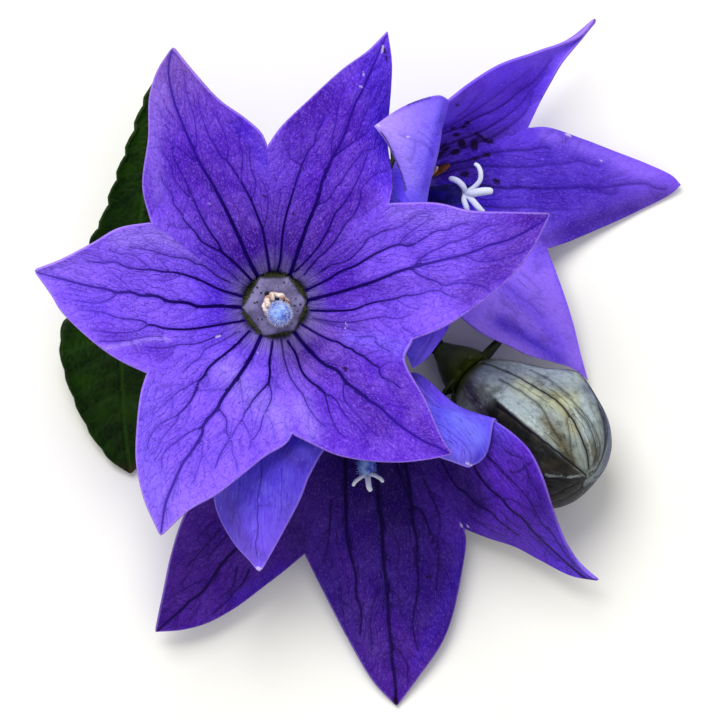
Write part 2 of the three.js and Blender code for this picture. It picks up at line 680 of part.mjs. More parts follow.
const spray = new THREE.Group();
spray.add(named('stem', stem(frames), FINISHES.green));
for (const spec of LEAVES) {
  spray.add(named(spec.name, leaf(spec), FINISHES.leaf));
}
for (const bloom of blooms) {
  const { name } = bloom;
  spray.add(named(`corolla_${name}`, corolla(bloom), FINISHES[name]));
  const group = turnedGroup(frames[name]);
  const style = name === 'main' ? lathe(CLUB_OUTLINE, STYLE_SIDES) : openStyle(OPEN_STYLES[name]);
  group.add(named(`calyx_${name}`, calyx(CALYCES[name]), FINISHES.green));
  group.add(named(`disc_${name}`, lathe(DISC_OUTLINE, bloom.lobes.length * 2), FINISHES.disc));
  group.add(named(`style_${name}`, style, FINISHES.style));
  group.add(named(`stamens_${name}`, stamens(STAMENS[name]), FINISHES.stamens));
  spray.add(group);
}
spray.add(named('corolla_bud', balloonBud(frames.bud), FINISHES.bud));
const budGroup = turnedGroup(frames.bud);
budGroup.add(named('calyx_bud', calyx(CALYCES.bud), FINISHES.green));
spray.add(budGroup);

export default spray;
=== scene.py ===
"""Finish of a cut spray of blue balloon flower: petals with veins, leaves, bud, styles and hairs."""

import math

import bmesh
import bpy
import numpy as np
from bpy.props import FloatProperty, FloatVectorProperty, IntProperty, PointerProperty
from mathutils import Matrix, Vector
from mathutils.kdtree import KDTree


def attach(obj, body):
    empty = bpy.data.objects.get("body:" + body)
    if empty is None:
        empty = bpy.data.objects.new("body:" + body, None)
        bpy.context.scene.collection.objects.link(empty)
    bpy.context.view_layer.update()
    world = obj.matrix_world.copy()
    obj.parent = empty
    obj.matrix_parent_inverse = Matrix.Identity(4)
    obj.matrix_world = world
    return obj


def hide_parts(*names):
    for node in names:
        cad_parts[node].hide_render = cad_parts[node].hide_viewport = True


bl_info = {
    "name": "Balloon Flower Spray",
    "version": (1, 0, 0),
    "blender": (4, 5, 0),
    "location": "View3D > Sidebar > Balloon Flower",
    "description": "Builds the petals, leaves, bud and styles of a balloon flower spray over its solids",
    "category": "Object",
}

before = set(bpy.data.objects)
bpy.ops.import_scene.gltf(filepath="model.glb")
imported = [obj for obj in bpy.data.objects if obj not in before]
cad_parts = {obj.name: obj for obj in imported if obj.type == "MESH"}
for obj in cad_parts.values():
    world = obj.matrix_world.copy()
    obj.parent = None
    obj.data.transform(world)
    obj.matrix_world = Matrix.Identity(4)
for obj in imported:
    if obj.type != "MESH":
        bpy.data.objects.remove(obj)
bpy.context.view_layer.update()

# Lengths below are in millimetres, and MM turns them into metres.
MM = 0.001

# Outlines are given as they look in plan from an eye this high above the table.
EYE_HEIGHT = 1000.0
PLAN_CENTRE = np.array([0.173, -0.339])

# The photograph's middle and its scale on the table, for what is given in its pixels.
PHOTO_MIDDLE = 360.0
PIXELS_PER_MM = 8.0

# A lobe leaves the ring of petals at a flare, and is fused to its neighbours up to the notch.
NOTCH_SHARE = 7 / 16
RING_RADIUS = 3.9
FLARE_ANGLE = math.radians(34)
FLARE_LENGTH = 5.0
RIB_LEAD = 0.55
LINE_STEPS = 40

# Places on a lobe are searched from a grid, preferring high ones, and then stepped closer.
KNOWN_ROWS = 90
KNOWN_COLUMNS = 61
HEIGHT_LEAD = 0.04
SEARCH_STEPS = 6
LONGEST_STEP = (0.03, 0.08)
NUDGE = 1e-3

# Blooms: where each stands, how it is turned, how finely its lobes are divided, which lobes have plain,
# faint or led-down veins, the notches between the lobes, and each lobe's angle, tip, midrib and margins.

MAIN_BLOOM = {
    "name": "main",
    "base": (-10.6, 7.0, 15.6),
    "axis": (0.03, -0.1, 1),
    "across": (1, 0, 0),
    "lean": (0.038, -0.032, 0.0),
    "disc_shift": (-0.1, -0.18, 0.0),
    "seed": 11,
    "columns": 68,
    "rows": 112,
    "plain": (),
    "led_down": (),
    "faint": (),
    "walls": {},
    "notches": ((3.6, 19.5, 23.4), (-11.6, 26.5, 24.5), (-26.0, 17.1, 24.0), (-26.5, -1.6, 24.0),
                (-8.5, -9.1, 24.0), (6.4, 2.6, 23.6)),
    "lobes": (
        {"angle": 8, "tip": (23.75, 18.25, 24.6),
         "rib": ((1.25, 9.75, 19.8), (6.6, 11.75, 22.0), (14.0, 13.4, 23.8), (18.0, 15.0, 24.4)),
         "before": ((10.25, 4.1, 24.2), (14.4, 6.75, 24.4), (18.4, 10.0, 24.6), (21.5, 13.9, 24.8)),
         "after": ((9.6, 19.5, 24.8), (13.5, 18.6, 25.2), (18.4, 18.4, 25.2))},
        {"angle": 63, "tip": (3.5, 41.0, 24.4),
         "rib": ((-5.9, 15.7, 19.4), (-1.7, 25.5, 22.6), (1.4, 34.5, 23.8)),
         "before": ((4.1, 22.25, 21.4), (3.5, 26.75, 19.9), (3.6, 30.1, 19.8), (3.9, 33.9, 21.0),
                    (4.0, 37.25, 22.8)),
         "after": ((-9.9, 29.0, 25.0), (-6.5, 32.4, 25.3), (-2.1, 36.4, 25.3), (1.25, 38.75, 25.0))},
        {"angle": 117.6, "tip": (-23.5, 39.0, 24.8),
         "rib": ((-15.0, 15.6, 19.4), (-19.5, 26.0, 23.5), (-22.3, 34.0, 24.5)),
         "before": ((-12.4, 28.25, 25.2), (-14.4, 30.1, 25.4), (-17.75, 32.5, 25.4), (-21.1, 36.1, 25.3)),
         "after": ((-27.1, 21.6, 24.6), (-26.4, 27.9, 25.0), (-26.25, 33.0, 25.2), (-25.25, 36.25, 25.1))},
        {"angle": 183, "tip": (-40.6, 11.1, 24.8),
         "rib": ((-20.0, 7.3, 19.2), (-29.0, 8.6, 23.0), (-36.0, 10.3, 24.2)),
         "before": ((-30.1, 16.4, 25.0), (-33.4, 14.5, 25.3), (-37.5, 12.3, 25.2)),
         "after": ((-30.1, 0.1, 24.5), (-33.0, 2.1, 24.8), (-37.25, 6.1, 25.0), (-38.4, 8.0, 25.0))},
        {"angle": 250, "tip": (-24.9, -21.9, 24.6),
         "rib": ((-14.0, -0.4, 18.8), (-17.25, -5.0, 21.2), (-22.0, -12.6, 23.6), (-23.9, -16.5, 24.3)),
         "before": ((-27.25, -4.0, 24.3), (-27.75, -7.9, 24.6), (-27.9, -12.6, 24.8), (-26.9, -17.4, 24.9)),
         "after": ((-9.25, -10.25, 24.2), (-11.9, -11.9, 24.5), (-14.6, -14.1, 24.8), (-18.0, -16.75, 25.0),
                   (-21.5, -18.75, 25.0))},
        {"angle": 309, "tip": (11.5, -11.75, 24.4),
         "rib": ((-5.4, 0.5, 18.9), (-1.75, -2.6, 20.8), (2.5, -5.9, 22.8), (7.1, -9.6, 24.0)),
         "before": ((-5.75, -10.5, 24.1), (-3.0, -11.75, 24.3), (0.6, -12.5, 24.4), (4.9, -12.75, 24.4),
                    (8.5, -12.4, 24.4)),
         "after": ((5.4, 0.25, 23.8), (8.1, -5.0, 24.1), (10.4, -10.1, 24.4))},
    ),
}

LOWER_BLOOM = {
    "name": "lower",
    "base": (0.5, -4.0, 10.5),
    "axis": (0.03, -0.94, 0.34),
    "across": (1, 0, 0),
    "lean": (0.0, 0.0, 0.0),
    "disc_shift": (0.0, 0.0, 0.0),
    "seed": 23,
    "columns": 56,
    "rows": 96,
    "plain": (2,),
    "led_down": (0, 1, 3, 4),
    "faint": (),
    "walls": {1: ((6.8, -1.9, 14.2), (12.1, -6.0, 16.0))},
    "notches": ((13.0, -21.1, 4.5), (16.75, -7.6, 17.2), (2.0, -10.5, 19.5), (-18.1, -13.75, 13.5),
                (-6.9, -24.25, 4.5)),
    "lobes": (
        {"angle": -90, "tip": (4.6, -43.25, 0.62),
         "rib": ((1.6, -16.0, 4.6), (3.1, -27.0, 2.6), (4.0, -36.0, 1.5)),
         "before": ((-4.75, -28.5, 3.8), (-2.1, -33.6, 2.9), (1.6, -40.0, 1.6)),
         "after": ((13.25, -22.6, 4.3), (12.9, -25.4, 3.8), (11.6, -31.75, 3.0), (10.1, -35.6, 2.3),
                   (7.0, -40.0, 1.5))},
        {"angle": -18, "tip": (29.6, -27.6, 5.5),
         "rib": ((9.0, -8.3, 10.6), (14.1, -13.4, 13.3), (18.0, -17.9, 13.8), (24.0, -23.3, 9.2)),
         "before": ((15.9, -22.25, 4.6), (19.4, -23.4, 4.8), (22.6, -25.1, 5.0), (26.4, -27.0, 5.3)),
         "after": ((18.75, -9.0, 18.2), (21.0, -11.25, 19.3), (22.6, -14.4, 19.3), (23.75, -17.9, 17.4),
                   (24.9, -21.25, 13.6), (26.0, -23.75, 10.2), (27.75, -26.25, 7.2))},
        {"angle": 54, "tip": (13.4, -13.25, 18.6),
         "rib": ((6.5, -6.5, 17.0), (11.0, -9.0, 20.0), (13.6, -11.5, 19.6)),
         "before": ((15.4, -12.0, 17.8),),
         "after": ((8.0, -11.6, 20.2), (11.5, -12.6, 19.6))},
        {"angle": 126, "tip": (-12.5, -26.25, 17.6),
         "rib": ((-4.5, -6.0, 16.5), (-10.0, -9.5, 19.6), (-12.2, -14.0, 20.3), (-12.8, -19.8, 19.6)),
         "before": ((-3.5, -10.2, 20.2), (-6.25, -14.0, 20.0), (-7.5, -17.1, 19.6), (-9.5, -20.9, 18.8),
                    (-11.0, -23.6, 18.1)),
         "after": ((-18.0, -17.0, 14.5), (-17.4, -19.4, 15.0), (-15.4, -22.9, 16.0), (-13.6, -24.9, 17.0))},
        {"angle": 198, "tip": (-25.5, -34.0, 4.0),
         "rib": ((-8.0, -11.0, 8.2), (-15.5, -23.6, 6.5), (-19.6, -28.0, 5.4)),
         "before": ((-21.75, -19.25, 11.5), (-23.5, -24.4, 9.0), (-24.5, -29.1, 6.5)),
         "after": ((-9.5, -26.4, 4.3), (-12.1, -28.4, 4.1), (-15.6, -31.0, 4.0), (-19.1, -32.9, 3.9),
                   (-22.25, -33.75, 3.9))},
    ),
}

UPPER_BLOOM = {
    "name": "upper",
    "base": (5.4, 20.6, 11),
    "axis": (0.92, 0, 0.39),
    "across": (0, 1, 0),
    "lean": (0.0, 0.0, 0.0),
    "disc_shift": (0.0, 0.0, 0.0),
    "seed": 37,
    "columns": 56,
    "rows": 96,
    "plain": (3,),
    "led_down": (0, 1, 2, 4),
    "faint": (2, 4),
    "walls": {},
    "notches": ((21.0, 29.0, 6.0), (11.25, 32.4, 19.5), (8.1, 17.25, 20.0), (12.1, 6.0, 14.5),
                (23.4, 13.9, 5.0)),
    "lobes": (
        {"angle": -90, "tip": (40.1, 21.9, 1.3),
         "rib": ((15.0, 20.9, 6.2), (24.0, 21.5, 4.8), (33.0, 21.9, 3.4)),
         "before": ((25.6, 14.6, 3.0), (29.0, 16.0, 1.6), (34.75, 18.6, 0.62), (39.1, 20.9, 0.8)),
         "after": ((23.4, 29.1, 5.8), (27.6, 27.75, 5.0), (31.9, 26.1, 4.1), (36.25, 24.4, 3.0),
                   (39.1, 23.0, 2.1))},
        {"angle": -18, "tip": (29.5, 42.5, 10.0),
         "rib": ((15.0, 30.3, 9.5), (20.0, 34.2, 10.0), (25.0, 38.6, 10.5)),
         "before": ((22.6, 32.5, 8.0), (24.9, 37.1, 10.5), (27.6, 40.2, 10.4)),
         "after": ((13.8, 34.4, 17.5), (17.45, 36.7, 15.0), (22.1, 38.3, 12.8), (27.5, 40.3, 11.0))},
        {"angle": 54, "tip": (1.75, 29.25, 23.4),
         "rib": ((7.5, 23.5, 17.0), (9.6, 25.6, 22.5), (6.8, 27.0, 24.2), (4.0, 28.3, 24.0)),
         "before": ((9.9, 33.1, 21.5), (7.0, 32.4, 23.2), (4.6, 31.25, 23.6)),
         "after": ((5.9, 20.0, 21.3), (5.25, 22.9, 22.1), (4.4, 24.9, 22.7), (3.25, 27.25, 23.2))},
        {"angle": 126, "tip": (6.6, -1.1, 18.2),
         "rib": ((8.0, 14.5, 16.5), (10.5, 8.5, 20.0), (9.0, 3.0, 19.8)),
         "before": ((6.4, 12.0, 20.0), (5.8, 6.0, 20.0), (5.6, 1.5, 19.0)),
         "after": ((10.5, 3.1, 17.0), (8.25, 0.1, 18.0))},
        {"angle": 198, "tip": (28.5, -2.5, 2.3),
         "rib": ((11.0, 14.5, 9.5), (18.0, 9.0, 9.0), (23.0, 4.5, 6.5), (26.5, 0.5, 3.8)),
         "before": ((15.25, 3.4, 12.0), (19.0, 1.6, 9.0), (21.25, 0.5, 7.3), (24.1, -0.25, 5.0),
                    (26.6, -1.1, 3.3)),
         "after": ((23.9, 12.6, 5.0), (25.6, 8.0, 4.8), (26.75, 4.25, 4.0), (27.6, 0.75, 3.0))},
    ),
}

BLOOMS = (MAIN_BLOOM, LOWER_BLOOM, UPPER_BLOOM)

# Veins: the lobe, the half widths at the foot and the end in pixels, and the pixels they pass.
MAIN_VEINS = (
    (2, 2.4, 0.7, ((259, 279), (250, 262), (231, 220), (212, 183), (200, 163), (181, 120), (174, 101),
     (168.5, 72), (170, 58), (172, 50))),
    (2, 1.5, 0.5, ((270, 272), (262.5, 230), (256, 212), (251, 200), (240, 180), (226, 160), (221, 157),
     (216, 147), (210, 138), (199, 106), (199, 98))),
    (2, 0.7, 0.4, ((263, 230), (267, 215), (268, 205), (266.5, 190), (262, 180))),
    (2, 0.6, 0.5, ((252, 200), (256, 183), (251, 168), (249, 148))),
    (2, 0.7, 0.4, ((241, 180), (242.5, 154), (240, 146), (238.5, 133), (234, 125), (226, 122))),
    (2, 0.7, 0.4, ((227, 161), (228, 146), (222, 127), (212, 110))),
    (2, 0.7, 0.5, ((195.5, 149), (196.5, 140), (194, 117), (186, 91), (184, 74))),
    (2, 0.4, 0.3, ((224, 190), (225, 180), (219, 163), (207, 152), (204, 145))),
    (2, 1.5, 1.3, ((254, 283), (240, 268), (222, 252))),
    (2, 1.1, 0.6, ((222, 252), (218, 243), (212, 235), (202, 218), (186, 182), (175, 160), (172, 151),
     (173, 147))),
    (2, 0.8, 0.7, ((199, 162), (191, 158), (180, 149), (175, 146.5), (171, 150))),
    (2, 0.5, 0.4, ((175, 146), (174, 134))),
    (2, 0.5, 0.4, ((172, 146), (163, 132))),
    (2, 0.4, 0.4, ((171, 150), (164, 146), (162, 140))),
    (2, 0.8, 0.5, ((191, 197), (186, 194), (176, 181), (173, 175), (171, 165), (161, 150))),
    (2, 1.1, 0.5, ((222, 252), (213, 248), (200, 240), (196, 233), (184, 220), (181, 213), (173, 203),
     (173, 197), (169, 190), (163, 182), (161, 175))),
    (2, 0.8, 0.5, ((238, 280), (228, 271), (220, 266), (214, 260), (202, 253), (198, 248))),
    (1, 2.4, 0.7, ((289, 278), (308, 223), (316, 204), (320, 192), (322, 182), (332, 159), (343, 138),
     (356, 102), (361, 93), (386, 36))),
    (1, 1.5, 0.5, ((278, 270), (280, 262), (284, 225), (293, 192), (301, 168), (309, 150), (314, 145),
     (316, 134), (321, 125), (325, 114), (333, 101), (333, 96), (328, 91))),
    (1, 0.8, 0.5, ((331, 157), (332.5, 138), (337, 116), (337.5, 107), (345, 87))),
    (1, 0.7, 0.4, ((301, 165), (291, 158), (283, 140))),
    (1, 0.6, 0.4, ((300, 160), (302, 130), (301, 120))),
    (1, 0.6, 0.4, ((316, 132), (314.5, 120), (316, 100))),
    (1, 0.5, 0.4, ((290, 160), (289, 122))),
    (1, 0.6, 0.4, ((275, 268), (275, 250), (277, 218), (281, 192))),
    (1, 0.8, 0.6, ((317, 205), (325, 202), (331, 196), (336, 187), (341, 182), (350, 168), (362, 153),
     (366, 150), (374, 149), (381, 143))),
    (1, 1.0, 0.6, ((333, 158), (340, 152), (366, 133))),
    (1, 0.6, 0.4, ((355, 140), (366, 112), (372, 93), (376, 85))),
    (1, 1.2, 0.6, ((294, 272), (300, 267), (314, 252), (320, 244), (329, 228), (335, 214), (345, 202),
     (354, 187), (363, 167), (367, 155))),
    (1, 1.0, 0.5, ((304, 275), (318, 258), (325, 252), (337, 238), (346, 223), (351, 218), (356, 211),
     (360, 201), (361, 190), (372, 177), (380, 172), (388, 170))),
    (0, 2.1, 0.7, ((303, 301.5), (340, 292), (375, 281), (400, 271), (473, 252), (489, 245), (500, 242.5),
     (510, 239), (537, 225), (549, 216))),
    (0, 1.5, 0.6, ((300.5, 293), (330.5, 278), (337, 273.5), (344, 270), (355, 266), (375, 254),
     (399, 244.5), (408, 246), (427, 236.4), (432.5, 232.7), (441, 230), (446.5, 230.3), (454.5, 226),
     (464.5, 223.6), (469, 224.5))),
    (0, 0.7, 0.5, ((399, 244.5), (404, 237.5), (425, 222.5), (434, 218))),
    (0, 0.9, 0.5, ((320, 272), (333, 264.5), (343, 262.5), (350.5, 258.5), (365, 243.5), (368, 238),
     (374, 236), (381, 231.7), (400, 227), (416.5, 215.3), (427, 213))),
    (0, 0.6, 0.4, ((313, 272), (322, 263.5), (344.5, 251.5), (352, 244.5))),
    (0, 0.9, 0.5, ((413, 267), (419.5, 259.7), (431, 251.6), (441, 247.6), (449, 242.8), (457, 241.3),
     (475.5, 233.2), (485, 227), (500, 224))),
    (0, 0.5, 0.4, ((494, 234), (517, 224))),
    (0, 1.4, 0.5, ((311, 310.5), (330.5, 311), (354, 309.4), (366.8, 304.5), (376, 302), (393.5, 299),
     (404, 295.6), (413, 295.2), (422, 293.6), (428, 291.3), (441, 291), (446.5, 294.5), (452.5, 296.7),
     (459, 297.6))),
    (0, 0.6, 0.4, ((396, 299), (408, 306.8), (420, 309))),
    (0, 0.5, 0.5, ((441, 291), (442, 287), (444, 285))),
    (0, 0.9, 0.5, ((411, 269), (421, 276), (437, 281.7), (443, 285.3), (457, 283), (474.5, 284.5),
     (483, 286.5), (488, 290))),
    (0, 0.5, 0.4, ((466, 283), (468, 279.5), (472, 276), (480, 276), (494, 271))),
    (0, 0.7, 0.5, ((464, 256), (476.5, 260.8), (484.5, 261.8), (493, 260.7), (514.5, 255), (528, 249))),
    (0, 0.8, 0.5, ((313, 317.7), (322.5, 320), (343, 322.5), (354, 321.9), (377, 317.5), (386, 316.8),
     (392, 318.5), (400, 318.3), (410, 315))),
    (0, 0.6, 0.5, ((311.5, 322.7), (321, 323.5), (327.3, 326.7), (350.5, 331), (357.7, 337.7))),
    (0, 0.6, 0.4, ((402, 327.5), (416, 335.5))),
    (5, 2.2, 0.8, ((294.5, 332), (303.6, 344), (321, 361.7), (328, 366.3), (334.5, 368.7), (340.5, 374),
     (345, 381), (362, 394), (368, 399.8), (380, 407.2), (392.5, 419.6), (421, 439.6), (440, 448.2),
     (450, 454))),
    (5, 1.4, 0.7, ((302, 325), (331.5, 340.5), (337.3, 341.8), (347.3, 347.8), (351.4, 348.7), (356.4, 353),
     (363, 356), (372.7, 364), (378.5, 367.4), (379.2, 372), (382.3, 377.2), (394, 382.8), (400, 388))),
    (5, 0.6, 0.4, ((363, 356), (373, 352), (380, 350.5))),
    (5, 0.6, 0.4, ((379, 367.5), (390, 361))),
    (5, 0.6, 0.5, ((357, 337), (371, 336.3), (377, 338.5), (375, 341.5), (390.5, 352))),
    (5, 1.3, 1.1, ((287.5, 341), (295, 352.5), (302.8, 372.8), (312, 382.8), (318, 386.5), (325, 393.6))),
    (5, 0.9, 0.5, ((325, 393.5), (331.7, 396.3), (337.6, 401.8), (340.6, 408.6), (350, 420.3), (356.4, 425),
     (361, 431), (369.5, 446))),
    (5, 0.9, 0.6, ((325, 394), (331.4, 417.8), (337.8, 430.6), (345.5, 437.7))),
    (5, 0.9, 0.5, ((279.5, 340), (290.5, 377.8), (303.2, 395.5), (306.5, 403.7), (317.8, 420),
     (328, 428.5))),
    (5, 0.8, 0.5, ((344.5, 382), (343, 390.3), (344, 398.5), (353.5, 411), (377.7, 436.8))),
    (5, 0.5, 0.4, ((376, 412.5), (379.5, 421), (385, 427), (391, 440))),
    (5, 0.5, 0.4, ((381, 405.5), (388, 404.8), (410, 409))),
    (4, 2.4, 0.9, ((261, 336), (252.3, 354.3), (246, 365.3), (220.6, 401.3), (218, 407.3), (202.8, 426.4),
     (202.8, 431.6), (200.5, 437.2), (189, 455.3), (184, 461.3), (179, 471), (167.8, 497.2), (165, 506),
     (161, 533))),
    (4, 1.6, 0.8, ((249.5, 331), (235, 345.7), (212.3, 364.3), (207.3, 369.7), (203.6, 376.8),
     (198.6, 381.5), (196.9, 388.4), (188.6, 403.7), (177.8, 415))),
    (4, 0.7, 0.5, ((177.8, 415), (162, 423), (156.4, 427.4), (148.2, 440.7), (147.3, 449))),
    (4, 0.7, 0.4, ((178, 415), (177.8, 418.8), (163, 437), (155.6, 451.6), (151, 455))),
    (4, 0.7, 0.4, ((198, 381.5), (193.6, 382.4), (187, 387.4), (179.3, 391), (153, 415))),
    (4, 0.9, 0.5, ((202.8, 426.5), (190, 431.9), (178.2, 440.2), (162.3, 455.5), (162, 468))),
    (4, 0.6, 0.5, ((202, 437), (202.7, 444), (201.3, 456.3), (193.4, 483.5))),
    (4, 0.8, 0.7, ((219, 408), (226.7, 420.7), (226.4, 430), (228.5, 439), (220, 454.7), (215.4, 467.5))),
    (4, 0.6, 0.5, ((228.5, 439), (231, 440), (233.2, 455.5), (236.5, 462), (237, 470))),
    (4, 0.5, 0.4, ((226, 431), (216, 438))),
    (4, 1.3, 1.2, ((272.8, 341), (269.5, 363), (270, 373.7), (268.6, 382.8))),
    (4, 1.1, 0.5, ((268.6, 383), (252.2, 401.2), (249.6, 406.3), (245.5, 411), (242.8, 418.2), (235, 429.3),
     (232, 437.5))),
    (4, 0.6, 0.5, ((243, 421), (249, 434.3), (250.4, 441.6), (249, 450))),
    (4, 0.8, 0.6, ((269.5, 384), (271.3, 391.6), (271.4, 398.4), (262, 420), (260.5, 428), (251, 443))),
    (4, 0.7, 0.5, ((240, 331.4), (232, 334.5), (225, 339.5), (215.5, 343.3), (203.6, 351), (200, 357.5),
     (191, 364), (183, 372))),
    (3, 2.2, 0.7, ((244.5, 307.8), (220, 306), (197.3, 306.4), (190, 303.6), (183.7, 302.3), (169, 301.4),
     (157.2, 296.3), (141, 295.4), (131, 292.2), (117.8, 292.6), (104, 288.5), (94.4, 287.2), (35, 272))),
    (3, 1.5, 0.6, ((248, 298), (221, 290), (197.3, 279), (176, 272.6), (162.8, 271.7), (152.8, 269.8),
     (141, 269.5), (125.3, 266.7), (118.2, 263.1), (111.9, 262), (104.3, 262.8), (88.2, 261.4))),
    (3, 0.5, 0.4, ((111.5, 272.5), (119, 278), (128, 286.7), (131, 291))),
    (3, 0.9, 0.5, ((231, 282.7), (218.2, 276.8), (202.7, 265), (195.5, 264), (191.8, 261), (185.5, 258.5),
     (171, 256.6), (151, 250.5), (131, 247.7))),
    (3, 0.6, 0.4, ((151, 268.6), (131, 254), (120.5, 254), (112, 251))),
    (3, 1.4, 1.0, ((245, 320.5), (195.6, 328.5), (183.2, 329.4), (163.1, 328.1), (153.6, 325.2),
     (148.2, 325.2))),
    (3, 0.9, 0.5, ((148, 325), (144.5, 321.7), (141.3, 320.6), (116.9, 317.4), (102.8, 312.4), (80, 310))),
    (3, 0.8, 0.5, ((148, 325.5), (135.7, 331.4), (124.5, 332.6), (112, 332.6), (92, 330))),
    (3, 0.8, 0.5, ((116.5, 294), (112.8, 297.4), (101.9, 302.4), (92.6, 303), (72, 300))),
    (3, 0.6, 0.4, ((69, 287.6), (90, 293.5))),
    (3, 0.8, 0.5, ((222, 333.6), (210, 339), (195, 344), (179, 344.5), (171.9, 346.8), (156, 348.2),
     (145, 346.3))),
    (3, 0.7, 0.5, ((100, 341), (120, 341), (150, 336.5), (162, 336.5))),
)

LOWER_VEINS = (
    (0, 2.1, 1.2, ((377, 485), (379, 505), (381.5, 520), (383.5, 560), (387, 590), (389.5, 630), (392, 650),
     (392, 660), (395, 680), (396, 702))),
    (0, 1.9, 0.7, ((345.5, 460), (346, 515), (347.5, 540), (356, 577), (356.5, 597), (360, 605),
     (361.5, 615), (360, 635))),
    (0, 1.6, 0.6, ((405, 465), (409, 482), (413, 522), (417, 540), (417, 560), (418.5, 580), (418, 590),
     (413, 620), (414, 635), (418, 650))),
    (0, 0.8, 0.5, ((331, 500), (328, 545), (323, 562))),
    (0, 1.0, 0.6, ((411.5, 505), (421, 511), (427, 523), (432, 537), (438, 548), (438.5, 560), (436, 590))),
    (0, 0.8, 0.5, ((424, 480), (439, 515), (440, 530))),
    (0, 0.5, 0.4, ((392, 530), (398, 545), (399, 560))),
    (0, 0.7, 0.5, ((379, 588), (371, 612), (372, 650))),
    (0, 0.6, 0.5, ((392, 588), (403, 606))),
    (0, 0.7, 0.5, ((394, 645), (402, 655), (408, 668), (407, 676), (408, 684))),
    (0, 0.5, 0.4, ((341, 585), (341, 595), (344, 615))),
    (1, 1.3, 0.9, ((441, 460), (449, 475), (457, 487), (465, 492), (470, 498), (478, 505), (492, 513),
     (497, 519), (518, 535))),
    (1, 1.8, 1.0, ((473, 465), (480, 477), (490, 489), (501, 498), (508, 507), (524, 520), (532, 530),
     (568, 564), (585, 578), (593, 582))),
    (1, 1.1, 0.6, ((484, 452), (488, 457), (498, 466), (506, 476), (511, 480), (529, 500), (541, 522),
     (549, 531))),
    (1, 0.7, 0.6, ((505, 498), (512, 500), (531, 511), (536, 515))),
    (1, 0.7, 0.5, ((524, 466), (527, 470), (531, 482), (538, 492), (541, 503))),
    (1, 0.7, 0.5, ((510, 472), (517, 472), (532, 462))),
    (1, 0.7, 0.5, ((505, 450), (512, 455), (519, 457), (524, 460))),
    (1, 0.7, 0.5, ((470, 517), (495, 532), (505, 536))),
    (1, 0.7, 0.5, ((530, 535), (538, 541), (553, 556), (560, 561))),
    (1, 0.8, 0.6, ((548, 527), (565, 553), (577, 568))),
    (1, 0.6, 0.4, ((500, 510), (511, 522), (523, 531))),
    (3, 1.0, 0.7, ((265, 455), (262, 467), (263, 473), (258.5, 500), (259, 506), (258, 518), (259, 524),
     (258, 536), (256.5, 542), (258, 554))),
    (3, 0.7, 0.5, ((282, 468), (280, 517))),
    (3, 0.6, 0.5, ((270, 500), (271, 503), (261, 505))),
    (3, 0.6, 0.5, ((241, 480), (239, 510), (235, 515), (234, 522))),
    (4, 1.6, 0.9, ((236, 549), (227, 558), (219, 568), (204, 590), (196, 597), (191, 600), (182, 609),
     (157, 631))),
    (4, 0.9, 0.5, ((219, 530), (203, 549), (186, 567))),
    (4, 0.7, 0.5, ((228, 535), (217, 546), (207, 559))),
    (4, 0.6, 0.4, ((216, 520), (209, 526), (196, 540))),
    (4, 0.9, 0.5, ((237, 568), (232, 588), (222, 597))),
    (4, 0.9, 0.5, ((249, 570), (243, 583), (233, 593), (230, 598), (213, 614))),
    (4, 0.6, 0.4, ((203, 580), (194, 584), (172, 597))),
)

UPPER_VEINS = (
    (1, 1.3, 0.7, ((438, 135), (463, 126), (467, 123), (480, 116), (494, 110), (506, 103), (516, 94),
     (534, 81), (551, 60))),
    (1, 0.8, 0.5, ((458, 116), (468, 108), (477, 96), (482, 92))),
    (1, 0.9, 0.5, ((462, 119), (496, 96), (505, 88), (520, 78), (532, 68))),
    (1, 1.0, 0.5, ((480, 132), (496, 123), (513, 111), (523, 101), (530, 91), (537, 84), (548, 68))),
    (1, 0.9, 0.5, ((490, 138), (496, 135), (523, 115), (528, 107), (533, 92))),
    (0, 1.1, 0.7, ((455, 163), (470, 160), (492, 153), (518, 150), (528, 150), (545, 147), (550, 149))),
    (0, 0.9, 0.6, ((440, 175), (460, 169), (480, 166), (520, 167), (540, 166), (548, 164), (562, 164),
     (578, 161), (598, 166))),
    (0, 1.2, 0.7, ((480, 185), (508, 188), (522, 187), (530, 188), (570, 188), (578, 187), (595, 188),
     (610, 187), (620, 185), (648, 184), (655, 188), (665, 189))),
    (0, 0.7, 0.5, ((595, 188), (602, 192), (610, 194), (617, 193))),
    (0, 0.8, 0.5, ((480, 206), (510, 208), (530, 207), (552, 210), (560, 209), (568, 210))),
    (2, 1.0, 0.8, ((400, 135), (422, 143), (428, 147), (431, 151), (433, 156))),
    (2, 0.6, 0.5, ((441, 118), (444, 127))),
    (2, 0.6, 0.5, ((437, 125), (439, 134))),
    (2, 0.6, 0.5, ((424, 125), (430, 129), (434, 137))),
    (4, 1.0, 0.8, ((504, 284), (514, 293), (533, 306), (543, 318))),
    (4, 0.8, 0.6, ((521, 273), (535, 285), (541, 292))),
    (4, 0.7, 0.5, ((500, 300), (505, 305), (512, 309), (518, 316))),
    (4, 0.7, 0.5, ((515, 328), (522, 336), (545, 350))),
)

VEINS = {"main": MAIN_VEINS, "lower": LOWER_VEINS, "upper": UPPER_VEINS}

# Veins in lobe shares where the photograph shows none: foot and end across, end along, half width in mm.
PLAIN_VEINS = (
    (0.0, 0.0, 0.97, 0.14),
    (-0.3, -0.35, 0.8, 0.09),
    (0.3, 0.35, 0.8, 0.09),
    (-0.55, -0.72, 0.66, 0.07),
    (0.55, 0.72, 0.66, 0.07),
    (-0.8, -0.9, 0.5, 0.05),
    (0.8, 0.9, 0.5, 0.05),
)

